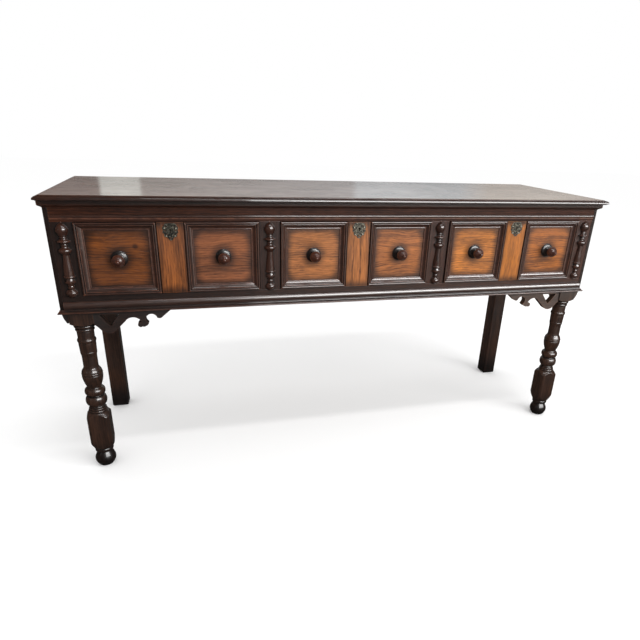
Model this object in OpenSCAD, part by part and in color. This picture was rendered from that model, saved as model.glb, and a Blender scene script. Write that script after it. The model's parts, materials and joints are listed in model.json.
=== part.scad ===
// Oak dresser base with three drawers in a row, on turned front legs and plain rear posts.
// Z is up and Z = 0 is the floor. X = 0 is the middle of the width, and the drawers open towards -Y.
// Y = 0 in the modules is the face of the front frame; in_place() then centres the depth on the origin.

/* [Overall] */
// Width over the moulded ends of the top
top_w = 1732; // [1660:2:1840]
// Depth from the front nosing to the back edge of the top
top_d = 520; // [480:1:560]
// Height from the floor to the top surface
total_h = 840; // [800:1:880]

/* [Top] */
// Thickness of the top boards
top_t = 14; // [12:0.5:18]
// Distance that the top stands out past the front frame
top_over_front = 38; // [34:1:46]
// Distance that the top stands out past each side board
top_over_side = 11; // [10:0.5:16]
// Distance that the top stands out past the back boards
top_over_back = 8; // [4:1:14]
// Width of the thumb moulding along the front and the ends of the top
thumb_w = 12; // [9:0.5:15]
// Height of the moulding under the top
top_moulding_h = 20; // [17:0.5:22]
// Distance that this moulding stands out from the front frame
top_moulding_out = 13; // [10:0.5:16]
// Distance that its returns stand out from the side boards
top_return_out = 8.5; // [6:0.5:9]
// Diameter of the oak pegs that hold the top down
peg_d = 9; // [7:0.5:10]
// Length of these pegs
peg_l = 46; // [36:1:54]

/* [Case] */
// Height of the case between the legs and the top
case_h = 308; // [298:1:326]
// Thickness of the side boards
side_t = 25; // [22:0.5:30]
// Thickness of the lip of a side board that covers the end of the front frame
side_lip_t = 12; // [9:0.5:15]
// Thickness of the back boards
back_t = 10; // [8:0.5:14]
// Height of the two back rails
back_rail_h = 40; // [34:1:50]
// Thickness of the two back rails
back_rail_t = 20; // [16:0.5:26]

/* [Front frame] */
// Thickness of the rails and stiles
frame_t = 45; // [43:0.5:52]
// Width of the two outer stiles
outer_stile_w = 53; // [48:1:60]
// Width of the two inner stiles
inner_stile_w = 61; // [54:1:68]
// Height of the top rail
top_rail_h = 57; // [54:1:62]
// Height of the bottom rail
bottom_rail_h = 48.5; // [46:0.5:54]
// Width of the opening for the middle drawer
middle_bay_w = 482; // [450:2:510]
// Thickness of the stile tenons
tenon_t = 12; // [9:0.5:15]
// Length of the stile tenons
tenon_l = 14; // [10:0.5:16]
// Clearance of a tenon in its mortise
tenon_gap = 0.1; // [0.05:0.05:0.3]

/* [Mouldings of the frame] */
// Height of the bead that is planted on the top rail, with the fillet under it
frieze_bead_h = 12; // [9:0.5:14]
// Distance that this bead stands out from the frame
frieze_bead_out = 4.5; // [3:0.5:6]
// Height of the frieze between this bead and the moulding under the top
frieze_h = 19; // [16:1:21]
// Height of the torus moulding on the bottom rail
torus_h = 23.5; // [20:0.5:26]
// Distance that the torus stands out from the frame
torus_out = 11; // [8:0.5:13]
// Height of the base moulding
base_moulding_h = 10; // [8:0.5:13]
// Distance that the base moulding stands out from the frame
base_moulding_out = 12; // [9:0.5:16]
// Distance that its returns stand out from the side boards
base_return_out = 6; // [4:0.5:10]

/* [Drawers] */
// Gap round a drawer front
drawer_gap = 1.2; // [0.8:0.1:2]
// Thickness of a drawer front
front_t = 20; // [18:0.5:24]
// Depth of the panel field behind the face of the frame
field_set = 5; // [3:0.5:7]
// Gap between a drawer and the rear posts
drawer_rear_gap = 4; // [3:1:50]
// Thickness of the drawer sides
drawer_side_t = 16; // [14:0.5:20]
// Height of the drawer sides
drawer_side_h = 168; // [150:1:170]
// Thickness of the drawer back
drawer_back_t = 12; // [10:0.5:16]
// Thickness of the drawer bottom
drawer_bottom_t = 8; // [6:0.5:9]
// Height of the drawer bottom over the lower edge of the front
bottom_lift = 9.4; // [9:0.2:12]
// Length of the dovetails
tail_l = 12; // [10:0.5:14]
// Number of dovetails in a corner
tails = 3; // [2:1:4]

/* [Drawer mouldings] */
// Width of the moulding round a panel
panel_moulding_w = 22; // [19:0.5:26]
// Height of this moulding over the panel field
panel_moulding_h = 12; // [9:0.5:14]
// Width of the space for the strip between two panels
strip_bay_w = 75; // [66:1:84]
// Thickness of the strip
strip_t = 9; // [7:0.5:11]
// Width of the groove between the strip and the mouldings
strip_groove = 1.2; // [0.8:0.1:2]

/* [Runners] */
// Height of the runner bars
runner_h = 40; // [34:1:46]
// Height of the tongue that a drawer side hangs on
tongue_h = 15; // [12:0.5:18]
// Length of this tongue beyond the bar
tongue_out = 8; // [6:0.5:10]
// Clearance of a drawer side over and beside its tongue
runner_gap = 0.4; // [0.3:0.1:0.8]
// Width of the gap between a drawer side and a runner bar
bar_gap = 1.2; // [0.8:0.1:2]
// Height of the drawer stops
stop_h = 8; // [6:0.5:8.5]

/* [Knobs and locks] */
// Length of a knob in front of the panel field
knob_l = 53; // [46:1:58]
// Radius of the rose of a knob
knob_rose_r = 23; // [20:0.5:26]
// Radius of the head of a knob
knob_head_r = 17; // [14:0.5:19]
// Diameter of the shank of a knob
knob_shank_d = 12; // [10:0.5:14]
// Distance that the shank reaches past the back of the front
knob_shank_past = 4; // [1:0.5:6]
// Clearance round a shank or peg in its hole
pin_gap = 0.05; // [0.02:0.01:0.15]
// Width of an escutcheon
escutcheon_w = 42; // [37:1:46]
// Thickness of an escutcheon
escutcheon_t = 1.6; // [1.2:0.1:2.4]
// Height of the keyhole over the floor of the drawer opening
keyhole_up = 181; // [176:1:184]
// Diameter of the round part of the keyhole
keyhole_d = 6; // [5:0.5:7]
// Width of a lock case
lock_w = 70; // [60:1:80]
// Height of a lock case
lock_h = 50; // [44:1:56]
// Thickness of a lock case
lock_t = 12; // [10:0.5:13]
// Width of a lock bolt
bolt_w = 22; // [18:1:26]
// Thickness of a lock bolt
bolt_t = 6; // [5:0.5:7]
// Travel of a lock bolt
bolt_travel = 9; // [6:0.5:10]

/* [Balusters] */
// Height of the split balusters
baluster_h = 205; // [195:1:206]
// Largest radius of a baluster
baluster_r = 17.2; // [15:0.2:18.6]

/* [Legs] */
// Side of the square parts of a front leg
leg_square = 63; // [58:1:66]
// Width of the chamfer along the lower square part
block_chamfer = 7; // [3:0.5:9]
// Distance from the outer face of a side board to the axis of a front leg
leg_inset = 49; // [47:1:54]
// Distance from the face of the frame back to this axis
leg_back = 28.5; // [27:0.5:32]
// Height of the ball foot with its rings
foot_h = 64; // [58:1:70]
// Height of the lower square part
lower_block_h = 128; // [110:1:140]
// Height of the upper square part
upper_block_h = 41; // [36:1:50]
// Diameter of the round tenon on a front leg
leg_tenon_d = 24; // [20:0.5:24]
// Length of this tenon
leg_tenon_l = 28; // [22:1:30]
// Side of the square rear posts
rear_leg_w = 57; // [50:1:58]
// Width of the chamfer along a rear post
rear_leg_chamfer = 4; // [2:0.5:6]

/* [Brackets] */
// Length of a bracket along the bottom rail
bracket_w = 215; // [190:1:230]
// Thickness of a bracket and of an ear
bracket_t = 22; // [18:0.5:26]
// Distance of a bracket behind the face of a leg
bracket_set = 5; // [3:0.5:8]
// Width of an ear outside a leg
ear_w = 16; // [13:0.5:17]

/* [Hidden] */
$fn = 48;
slack = 1;

// Levels and planes of the case
case_half = top_w / 2 - top_over_side;
frame_half = case_half - side_lip_t;
case_d = top_d - top_over_front - top_over_back;
top_z = total_h - top_t;
leg_h = top_z - case_h;
back_y = case_d - back_t;
top_back_y = case_d + top_over_back;
side_in = case_half - side_t;
opening_z0 = leg_h + bottom_rail_h;
opening_z1 = top_z - top_rail_h;

// Drawer openings and drawers, each drawer as [centre, width]
inner_stile_x = (middle_bay_w + inner_stile_w) / 2;
outer_stile_x = frame_half - outer_stile_w / 2;
outer_bay_x0 = middle_bay_w / 2 + inner_stile_w;
outer_bay_x1 = frame_half - outer_stile_w;
outer_bay_c = (outer_bay_x0 + outer_bay_x1) / 2;
left = [-outer_bay_c, outer_bay_x1 - outer_bay_x0 - 2 * drawer_gap];
middle = [0, middle_bay_w - 2 * drawer_gap];
right = [outer_bay_c, left[1]];
front_z0 = opening_z0 + drawer_gap;
front_z1 = opening_z1 - drawer_gap;
front_h = front_z1 - front_z0;
front_back_y = field_set + front_t;
drawer_l = back_y - rear_leg_w - drawer_rear_gap;
drawer_floor_z = front_z0 + bottom_lift;
side_z0 = drawer_floor_z + drawer_bottom_t;
side_z1 = side_z0 + drawer_side_h;
tongue_z = side_z0 + drawer_side_h / 2;
strip_face_y = field_set - strip_t;
knob_tip_y = field_set - knob_l;
key_z = opening_z0 + keyhole_up;
lock_y0 = front_back_y - lock_t;
bolt_drop = 2;
bolt_z1 = front_z1 - bolt_drop;
bolt_h = bolt_travel + 5;
bolt_gap = 0.2;
bolt_y = front_back_y - lock_t / 2;
bolt_mortise_h = bolt_travel + 3;

// Width of the tenon of a runner bar in its stile
runner_tenon_w = 20;

// The depth is centred on the origin, from the knob tips to the back edge of the top
case_y = -(top_back_y + knob_tip_y) / 2;

// Legs
leg_x = case_half - leg_inset;
bracket_y = leg_back - leg_square / 2 + bracket_set;
upper_block_z = leg_h - upper_block_h;
turn_z = foot_h + lower_block_h;
turn_l = upper_block_z - turn_z;

// Pegs of the top, clear of the locks and the stile tenons
peg_xs = [-0.88, -0.33, 0.33, 0.88] * outer_bay_x1;
peg_front_y = frame_t / 2;
peg_rear_y = back_y - back_rail_t / 2;

oak_dark = [0.20, 0.12, 0.07];
oak_brown = [0.30, 0.17, 0.09];
oak_gold = [0.55, 0.30, 0.13];
oak_pale = [0.62, 0.46, 0.28];
old_brass = [0.45, 0.44, 0.38];
iron = [0.25, 0.25, 0.26];

// Profiles are lists of [radius or distance out, height]
function bead(z0, z1, r, out, n = 8) =
    [for (i = [0:n]) [r + out * sin(180 * i / n), (z0 + z1) / 2 - (z1 - z0) / 2 * cos(180 * i / n)]];
function flow(z0, z1, r0, r1, n = 6) =
    [for (i = [0:n]) [r0 + (r1 - r0) * (1 - cos(180 * i / n)) / 2, z0 + (z1 - z0) * i / n]];
function bulge(z0, z1, r0, r1, n = 6) =
    [for (i = [0:n]) [r1 > r0 ? r0 + (r1 - r0) * sin(90 * i / n) : r1 + (r0 - r1) * cos(90 * i / n),
                      z0 + (z1 - z0) * i / n]];
function swell(z0, z1, r0, r1, n = 8) =
    [for (i = [0:n]) [r0 + (r1 - r0) * (i / n + sin(90 * i / n)) / 2, z0 + (z1 - z0) * i / n]];
function cove(z0, z1, r0, r1, n = 5) =
    [for (i = [0:n]) [r1 > r0 ? r1 - (r1 - r0) * cos(90 * i / n) : r0 - (r0 - r1) * sin(90 * i / n),
                      z0 + (z1 - z0) * i / n]];
function stretch(points, kr, kz, z0 = 0) = [for (p = points) [p[0] * kr, z0 + p[1] * kz]];
function closed(points) =
    concat([[0, points[0][1]]], points, [[0, points[len(points) - 1][1]]]);

// A bar along X with a section given as [y, z]
module bar_x(section, x0, x1) {
    translate([x0, 0, 0])
        rotate([90, 0, 90])
            linear_extrude(x1 - x0)
                polygon(section);
}

// A bar along Y with a section given as [x, z]
module bar_y(section, y0, y1) {
    translate([0, y1, 0])
        rotate([90, 0, 0])
            linear_extrude(y1 - y0)
                polygon(section);
}

module box(x0, x1, y0, y1, z0, z1) {
    translate([x0, y0, z0])
        cube([x1 - x0, y1 - y0, z1 - z0]);
}

module pair() {
    children();
    mirror([1, 0, 0])
        children();
}

module in_place() {
    translate([0, case_y, 0])
        children();
}

// Thumb moulding of the top: distance out past the flat, height over the underside
function thumb() = concat(
    [[0, 0], [thumb_w * 0.5, 0], [thumb_w * 0.5, top_t * 0.08], [thumb_w * 0.94, top_t * 0.2]],
    [for (i = [0:8]) [thumb_w * (0.1 + 0.9 * cos(90 * i / 8)), top_t * (0.3 + 0.58 * sin(90 * i / 8))]],
    [[0, top_t * 0.88], [0, top_t]]);

module top_blank(y0, y1) {
    flat_half = top_w / 2 - thumb_w;
    flat_y = thumb_w - top_over_front;
    edge = thumb();
    intersection() {
        bar_y(concat([for (p = edge) [flat_half + p[0], top_z + p[1]]],
                     [for (i = [len(edge) - 1:-1:0]) [-flat_half - edge[i][0], top_z + edge[i][1]]]),
              y0, y1);
        bar_x(concat([for (p = edge) [flat_y - p[0], top_z + p[1]]],
                     [[top_back_y, total_h], [top_back_y, top_z]]),
              -top_w / 2 - slack, top_w / 2 + slack);
    }
}

module peg_holes(z0, z1) {
    for (x = peg_xs, y = [peg_front_y, peg_rear_y])
        translate([x, y, z0])
            cylinder(h = z1 - z0, d = peg_d + 2 * pin_gap);
}

module top_boards() {
    joint_y = (top_back_y - top_over_front) / 2;
    joint_gap = 0.2;
    color(oak_dark)
        difference() {
            union() {
                top_blank(-top_over_front - slack, joint_y - joint_gap / 2);
                top_blank(joint_y + joint_gap / 2, top_back_y + slack);
            }
            peg_holes(top_z - slack, total_h + slack);
        }
}

// A moulding on the front of the case, cut at 45 degrees or as its returns ask, or one such return
module front_run(section, out, return_out) {
    intersection() {
        bar_x([for (p = section) [-p[0], p[1]]], -case_half - return_out, case_half + return_out);
        linear_extrude(total_h)
            polygon([[-case_half - return_out, -out], [case_half + return_out, -out],
                     [case_half, 0], [-case_half, 0]]);
    }
}

module return_run(section, out, return_out) {
    mitre_gap = 0.1;
    intersection() {
        bar_y([for (p = section) [case_half + p[0] * return_out / out, p[1]]], -out, case_d);
        linear_extrude(total_h)
            polygon([[case_half, mitre_gap], [case_half + return_out, mitre_gap - out],
                     [case_half + return_out, case_d], [case_half, case_d]]);
    }
}

function top_moulding_section() =
    let (z0 = top_z - top_moulding_h, h = top_moulding_h, out = top_moulding_out)
    concat([[0, z0]],
           flow(z0, z0 + h * 0.36, out * 0.12, out * 0.95),
           [[out, z0 + h * 0.42], [out, top_z], [0, top_z]]);

module top_moulding_front() {
    color(oak_dark)
        front_run(top_moulding_section(), top_moulding_out, top_return_out);
}

module top_moulding_returns() {
    color(oak_dark)
        pair()
            return_run(top_moulding_section(), top_moulding_out, top_return_out);
}

// Mortise or tenon of a stile, in from the face of the frame by one tenon thickness
module stile_tenon(x, w, z0, z1, gap) {
    shoulder = 10;
    half = w / 2 - shoulder + gap;
    box(x - half, x + half, tenon_t - gap, 2 * tenon_t + gap, z0, z1);
}

module stile_mortises(z0, z1) {
    pair() {
        stile_tenon(inner_stile_x, inner_stile_w, z0, z1, tenon_gap);
        stile_tenon(outer_stile_x, outer_stile_w, z0, z1, tenon_gap);
    }
}

module top_rail() {
    color(oak_dark)
        difference() {
            box(-frame_half, frame_half, 0, frame_t, opening_z1, top_z);
            stile_mortises(opening_z1 - slack, opening_z1 + tenon_l + tenon_gap);
            for (drawer = [left, middle, right])
                box(drawer[0] - bolt_w / 2 - bolt_gap * 3, drawer[0] + bolt_w / 2 + bolt_gap * 3,
                    bolt_y - bolt_t / 2 - bolt_gap * 3, bolt_y + bolt_t / 2 + bolt_gap * 3,
                    opening_z1 - slack, opening_z1 + bolt_mortise_h);
            peg_holes(total_h - peg_l - pin_gap, top_z + slack);
        }
}

module frieze_bead() {
    z1 = top_z - top_moulding_h - frieze_h;
    z0 = z1 - frieze_bead_h;
    fillet_z = z0 + frieze_bead_h * 0.4;
    fillet = frieze_bead_out * 0.36;
    section = concat([[fillet, z0], [fillet, fillet_z]], bead(fillet_z, z1, fillet, frieze_bead_out - fillet));
    color(oak_brown)
        bar_x([for (p = closed(section)) [-p[0], p[1]]], -frame_half, frame_half);
}

module stile(x, w) {
    color(oak_dark)
        difference() {
            union() {
                box(x - w / 2, x + w / 2, 0, frame_t, opening_z0, opening_z1);
                stile_tenon(x, w, opening_z0 - tenon_l, opening_z1 + tenon_l, 0);
            }
            box(x - runner_tenon_w / 2 - tenon_gap, x + runner_tenon_w / 2 + tenon_gap,
                frame_t - tenon_l - tenon_gap, frame_t + slack,
                tongue_z - runner_h / 4 - tenon_gap, tongue_z + runner_h / 4 + tenon_gap);
        }
}

module bottom_rail() {
    color(oak_dark)
        difference() {
            box(-frame_half, frame_half, 0, frame_t, leg_h, opening_z0);
            stile_mortises(opening_z0 - tenon_l - tenon_gap, opening_z0 + slack);
            pair()
                translate([leg_x, leg_back, leg_h - slack])
                    cylinder(h = leg_tenon_l + tenon_gap + slack, d = leg_tenon_d + 2 * pin_gap);
        }
}

module torus_moulding() {
    z0 = leg_h + base_moulding_h;
    color(oak_brown)
        bar_x([for (p = closed(bead(z0, z0 + torus_h, 0.4, torus_out - 0.4, 12))) [-p[0], p[1]]],
              -frame_half, frame_half);
}

function base_moulding_section() =
    let (z0 = leg_h, h = base_moulding_h, out = base_moulding_out)
    concat([[0, z0]],
           bead(z0, z0 + h * 0.4, out * 0.8, out * 0.2, 6),
           [[out * 0.72, z0 + h * 0.42]],
           cove(z0 + h * 0.46, z0 + h * 0.9, out * 0.72, out * 0.26),
           [[out * 0.26, z0 + h], [0, z0 + h]]);

module base_moulding_front() {
    color(oak_brown)
        front_run(base_moulding_section(), base_moulding_out, base_return_out);
}

module base_moulding_returns() {
    color(oak_brown)
        pair()
            return_run(base_moulding_section(), base_moulding_out, base_return_out);
}

module side_board() {
    color(oak_dark)
        difference() {
            box(side_in, case_half, 0, case_d, leg_h, top_z);
            box(side_in - slack, frame_half, -slack, frame_t, leg_h - slack, top_z + slack);
        }
}

module back_boards() {
    count = 3;
    joint_gap = 0.4;
    height = case_h / count;
    color(oak_brown)
        for (i = [0:count - 1])
            box(-side_in, side_in, back_y, case_d,
                leg_h + height * i, leg_h + height * (i + 1) - (i < count - 1 ? joint_gap : 0));
}

module back_rails() {
    half = side_in - rear_leg_w;
    color(oak_brown)
        difference() {
            union() {
                box(-half, half, back_y - back_rail_t, back_y, leg_h, leg_h + back_rail_h);
                box(-half, half, back_y - back_rail_t, back_y, top_z - back_rail_h, top_z);
            }
            peg_holes(total_h - peg_l - pin_gap, top_z + slack);
        }
}

// Ball foot under a broad ring
function foot_profile() = concat(
    bulge(0, foot_h * 0.34, leg_square * 0.33, leg_square * 0.485, 8),
    bulge(foot_h * 0.34, foot_h * 0.75, leg_square * 0.485, leg_square * 0.325, 8),
    bead(foot_h * 0.77, foot_h * 0.98, leg_square * 0.37, leg_square * 0.06),
    [[leg_square * 0.4, foot_h]]);

// Turned part between the two square parts, in millimetres for a length of 285 and a square of 63
function turned_profile() = concat(
    bead(0.5, 7, 24.8, 2.4, 6), bead(7.5, 14, 22.7, 2.4, 6), bead(14.5, 19.5, 20.8, 1.8, 5),
    [[21, 21]], bead(22, 54.5, 21.2, 9.1, 14),
    [[20.8, 55.5]], bead(56.5, 80.5, 21, 8.2, 12),
    [[19.6, 82.5]], bulge(83.5, 123, 19.8, 29.3, 10), [[27.6, 124.6], [27.6, 125.8]],
    bead(126.4, 131.8, 27.8, 1.8, 6),
    bulge(132.5, 147, 28.4, 21.4, 8), cove(147, 155, 21.4, 20.7),
    [[20.7, 184]], flow(184, 198, 20.7, 22.9), [[22, 199], [22, 200.4]],
    flow(201, 226, 22.9, 23.8), [[23.6, 229]], bead(230, 240, 23.6, 2.2),
    [[22.8, 241], [23.4, 263]], bead(265, 273, 23, 3.2),
    [[23.4, 274], [23.4, 275]], bead(275.5, 284.5, 25, 3.8));

// Envelopes of the square parts, whose corners are turned away where they meet the turning
function lower_block_profile() =
    let (taper = 28, reach = norm([leg_square / 2, leg_square / 2 - block_chamfer]) + 0.5)
    concat(swell(foot_h, foot_h + taper, leg_square * 0.455, reach),
           bulge(turn_z - taper * 0.7, turn_z, reach, leg_square * 0.44));

function upper_block_profile() =
    let (taper = 12, reach = leg_square * 0.72)
    concat(bulge(upper_block_z, upper_block_z + taper, leg_square * 0.44, reach), [[reach, leg_h]]);

// One piece of wood: the square parts are what the square blank leaves of their envelope
module front_leg() {
    half = leg_square / 2;
    flat = half - block_chamfer;
    tenon_r = leg_tenon_d / 2;
    tenon_z = leg_h + leg_tenon_l;
    color(oak_dark)
        translate([leg_x, leg_back, 0])
            intersection() {
                rotate_extrude()
                    polygon(closed(concat(
                        foot_profile(),
                        lower_block_profile(),
                        stretch(turned_profile(), leg_square / 63, turn_l / 285, turn_z),
                        upper_block_profile(),
                        [[tenon_r, leg_h], [tenon_r, tenon_z]])));
                union() {
                    translate([0, 0, -slack])
                        linear_extrude(turn_z + turn_l / 2 + slack)
                            polygon([[-half, -flat], [-flat, -half], [flat, -half], [half, -flat],
                                     [half, flat], [flat, half], [-flat, half], [-half, flat]]);
                    box(-half, half, -half, half, turn_z + turn_l / 2, tenon_z + slack);
                }
            }
}

// The chamfers of a rear post end a little under the case
module rear_leg() {
    x1 = side_in;
    x0 = x1 - rear_leg_w;
    y1 = back_y;
    y0 = y1 - rear_leg_w;
    c = rear_leg_chamfer;
    chamfer_stop = 6;
    color(oak_dark) {
        intersection() {
            linear_extrude(leg_h)
                polygon([[x0 + c, y0], [x1 - c, y0], [x1, y0 + c], [x1, y1 - c],
                         [x1 - c, y1], [x0 + c, y1], [x0, y1 - c], [x0, y0 + c]]);
            bar_y([[x0 + c, 0], [x1 - c, 0], [x1, c], [x1, leg_h], [x0, leg_h], [x0, c]], y0, y1);
            bar_x([[y0 + c, 0], [y1 - c, 0], [y1, c], [y1, leg_h], [y0, leg_h], [y0, c]], x0, x1);
        }
        box(x0, x1, y0, y1, leg_h - chamfer_stop, top_z);
    }
}

// Outline of a bracket, in millimetres for a length of 215: distance from the leg, height under the rail
module bracket_outline() {
    arch = [103.5, -47];
    scroll = [130.5, -35];
    curl = [123, -45];
    hollow = [155, -29];
    nub = [177, -17.5];
    difference() {
        union() {
            polygon([[0, 0], [0, -38], [9, -47], [18, -58], [26, -64], [36, -67], [46, -65.5],
                     [54, -60], [84, -31], [104, -20], [104, 0]]);
            translate([84, -34])
                square([scroll[0] + 9 - 84, 34]);
            translate(scroll)
                circle(r = 17);
            polygon([[130, 0], [130, -16], [170, -24], [180, -27.6], [186, -23.5], [208, -5], [215, 0]]);
            translate(nub)
                circle(r = 10.5);
        }
        translate(arch)
            circle(r = 25.5);
        translate(hollow)
            circle(r = 15.5);
        polygon([[15, -9], [70, -9], [57, -26], [46, -42], [43, -44.5], [40, -42.5], [29, -30]]);
    }
    translate(curl)
        circle(r = 7.6);
}

module bracket() {
    k = bracket_w / 215;
    color(oak_dark)
        translate([leg_x - leg_square / 2, bracket_y + bracket_t, leg_h])
            rotate([90, 0, 0])
                linear_extrude(bracket_t)
                    mirror([1, 0])
                        scale(k)
                            bracket_outline();
}

module bracket_ears() {
    w = ear_w;
    color(oak_dark)
        pair()
            translate([leg_x + leg_square / 2, bracket_y + bracket_t, leg_h])
                rotate([90, 0, 0])
                    linear_extrude(bracket_t)
                        polygon([[0, 0], [w, 0], [w * 0.97, -w * 0.45], [w * 0.82, -w * 1.05],
                                 [w * 0.6, -w * 1.5], [w * 0.42, -w * 1.88], [w * 0.24, -w * 1.97],
                                 [w * 0.1, -w * 1.85], [w * 0.05, -w * 1.5], [0, -w * 1.35]]);
}

// Split baluster, in millimetres for a height of 205 and a radius of 17.2
function baluster_profile() = concat(
    [[5, 0]],
    bulge(0, 12, 7, 15.3, 6), bulge(12, 23, 15.3, 8, 6),
    bead(23.5, 33, 7.2, 1.6, 6),
    cove(34, 41, 8.4, 13.6), [[14, 42], [14, 46]], cove(46.5, 54, 13, 10.4, 4),
    bead(55.5, 60.5, 13.6, 1.9, 6),
    flow(61, 116, 13, 8.8, 8), cove(116, 123, 9, 13.8, 4),
    bead(124.5, 133, 14.4, 2.4, 8), cove(133.5, 139, 13.6, 8.6, 4),
    bead(139.5, 147, 7.6, 1.4, 5),
    cove(147.5, 151.5, 9, 15.6, 4), bead(151.6, 156, 15.6, 1.6, 5), cove(156.1, 161, 15.2, 9, 4),
    bead(161.5, 166.5, 8, 1.2, 4),
    bulge(167, 184, 9.2, 16, 7), bulge(184, 198, 16, 8, 7), cove(198, 205, 8, 0.6, 4));

module baluster(x) {
    color(oak_dark)
        translate([x, 0, (opening_z0 + opening_z1 - baluster_h) / 2])
            difference() {
                rotate_extrude()
                    polygon(closed(stretch(baluster_profile(), baluster_r / 17.2, baluster_h / 205)));
                translate([-baluster_r - slack, 0, -slack])
                    cube([2 * (baluster_r + slack), baluster_r + slack, baluster_h + 2 * slack]);
            }
}

module outer_balusters() {
    pair()
        baluster(outer_stile_x);
}

module inner_balusters() {
    pair()
        baluster(inner_stile_x);
}

// Runner bars behind the stiles, with the tongues that the drawer sides hang on
module runner_bar(x0, x1, tenon_x, y1, tongue_x0, tongue_x1) {
    box(x0, x1, frame_t, y1, tongue_z - runner_h / 2, tongue_z + runner_h / 2);
    box(tenon_x - runner_tenon_w / 2, tenon_x + runner_tenon_w / 2, frame_t - tenon_l, frame_t + slack,
        tongue_z - runner_h / 4, tongue_z + runner_h / 4);
    box(tongue_x0, tongue_x1, frame_t, min(y1, drawer_l), tongue_z - tongue_h / 2, tongue_z + tongue_h / 2);
}

module drawer_runners() {
    outer_x0 = right[0] + right[1] / 2 + bar_gap;
    inner_x0 = middle[1] / 2 + bar_gap;
    inner_x1 = right[0] - right[1] / 2 - bar_gap;
    color(oak_pale)
        pair() {
            runner_bar(outer_x0, side_in, outer_stile_x, back_y - rear_leg_w,
                       outer_x0 - tongue_out, outer_x0 + slack);
            runner_bar(inner_x0, inner_x1, inner_stile_x, back_y,
                       inner_x0 - tongue_out, inner_x1 + tongue_out);
        }
}

module drawer_stops() {
    stop_w = 40;
    stop_t = 12;
    stop_gap = 0.3;
    color(oak_pale)
        for (drawer = [left, middle, right], side = [-1, 1])
            translate([drawer[0] + side * drawer[1] / 4 - stop_w / 2, front_back_y + stop_gap, opening_z0])
                cube([stop_w, stop_t, stop_h]);
}

module oak_pegs() {
    color(oak_pale)
        for (x = peg_xs, y = [peg_front_y, peg_rear_y])
            translate([x, y, total_h - peg_l])
                cylinder(h = peg_l, d = peg_d);
}

// Dovetails of a drawer side in the drawer front: sockets when the gap is over zero
module dovetails(x0, x1, gap) {
    pitch = drawer_side_h / tails;
    wide = pitch * 0.66;
    narrow = pitch * 0.52;
    for (i = [0:tails - 1])
        bar_x([[front_back_y - tail_l - gap, side_z0 + pitch * (i + 0.5) - wide / 2 - gap],
               [front_back_y + slack, side_z0 + pitch * (i + 0.5) - narrow / 2 - gap],
               [front_back_y + slack, side_z0 + pitch * (i + 0.5) + narrow / 2 + gap],
               [front_back_y - tail_l - gap, side_z0 + pitch * (i + 0.5) + wide / 2 + gap]],
              x0, x1);
}

module keyhole(y0, y1) {
    slot_w = keyhole_d * 0.5;
    slot_l = keyhole_d * 1.5;
    translate([0, y1, key_z])
        rotate([90, 0, 0])
            cylinder(h = y1 - y0, d = keyhole_d);
    box(-slot_w / 2, slot_w / 2, y0, y1, key_z - slot_l, key_z);
}

module knob_places(drawer) {
    for (side = [-1, 1])
        translate([drawer[0] + side * (drawer[1] + strip_bay_w) / 4, field_set, (front_z0 + front_z1) / 2])
            rotate([90, 0, 0])
                children();
}

module drawer_front(drawer) {
    half = drawer[1] / 2;
    color(oak_gold)
        difference() {
            translate([drawer[0], 0, 0])
                difference() {
                    box(-half, half, field_set, front_back_y, front_z0, front_z1);
                    for (side = [0, 1])
                        mirror([side, 0, 0])
                            dovetails(half - drawer_side_t - tenon_gap, half + slack, tenon_gap);
                    box(-half - slack, half + slack, front_back_y - drawer_bottom_t - tenon_gap,
                        front_back_y + slack, drawer_floor_z - tenon_gap, side_z0);
                    box(-lock_w / 2 - tenon_gap, lock_w / 2 + tenon_gap, lock_y0 - tenon_gap,
                        front_back_y + slack, front_z1 - lock_h - tenon_gap, front_z1 + slack);
                    keyhole(field_set - slack, lock_y0);
                }
            knob_places(drawer)
                translate([0, 0, -front_t - slack])
                    cylinder(h = front_t + 2 * slack, d = knob_shank_d + 2 * pin_gap);
        }
}

// Section of the panel moulding: height over the field, distance in from the outer edge
function panel_section() =
    let (w = panel_moulding_w, h = panel_moulding_h)
    concat([[0, 0]],
           [for (i = [0:6]) [h * (0.8 + 0.2 * sin(180 * i / 6)), w * 0.13 * (1 - cos(180 * i / 6))]],
           [[h * 0.66, w * 0.27], [h * 0.66, w * 0.31]],
           [for (i = [0:4]) [h * (0.72 + 0.1 * sin(180 * i / 4)), w * (0.315 + 0.06 * (1 - cos(180 * i / 4)))]],
           [[h * 0.62, w * 0.45], [h * 0.5, w * 0.53], [h * 0.34, w * 0.62], [h * 0.22, w * 0.72],
            [h * 0.16, w * 0.82]],
           [for (i = [0:4]) [h * (0.12 + 0.12 * sin(180 * i / 4)), w * (0.84 + 0.08 * (1 - cos(180 * i / 4)))]],
           [[0, w]]);

// One length of panel moulding, mitred at both ends, with its outer edge on the X axis
module moulding_length(l) {
    mitre_gap = 0.1;
    m = panel_moulding_w;
    intersection() {
        bar_x([for (p = panel_section()) [-p[0], -p[1]]], -l / 2, l / 2);
        bar_y([[mitre_gap - l / 2, 0], [l / 2 - mitre_gap, 0],
               [l / 2 - m - mitre_gap, -m], [m + mitre_gap - l / 2, -m]],
              -panel_moulding_h - slack, slack);
    }
}

module drawer_mouldings(drawer) {
    w = (drawer[1] - strip_bay_w) / 2;
    color(oak_dark)
        for (side = [-1, 1])
            translate([drawer[0] + side * (w + strip_bay_w) / 2, field_set, (front_z0 + front_z1) / 2])
                for (turn = [0:3])
                    rotate([0, 90 * turn, 0])
                        translate([0, 0, (turn % 2 == 0 ? front_h : w) / 2])
                            moulding_length(turn % 2 == 0 ? w : front_h);
}

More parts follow.
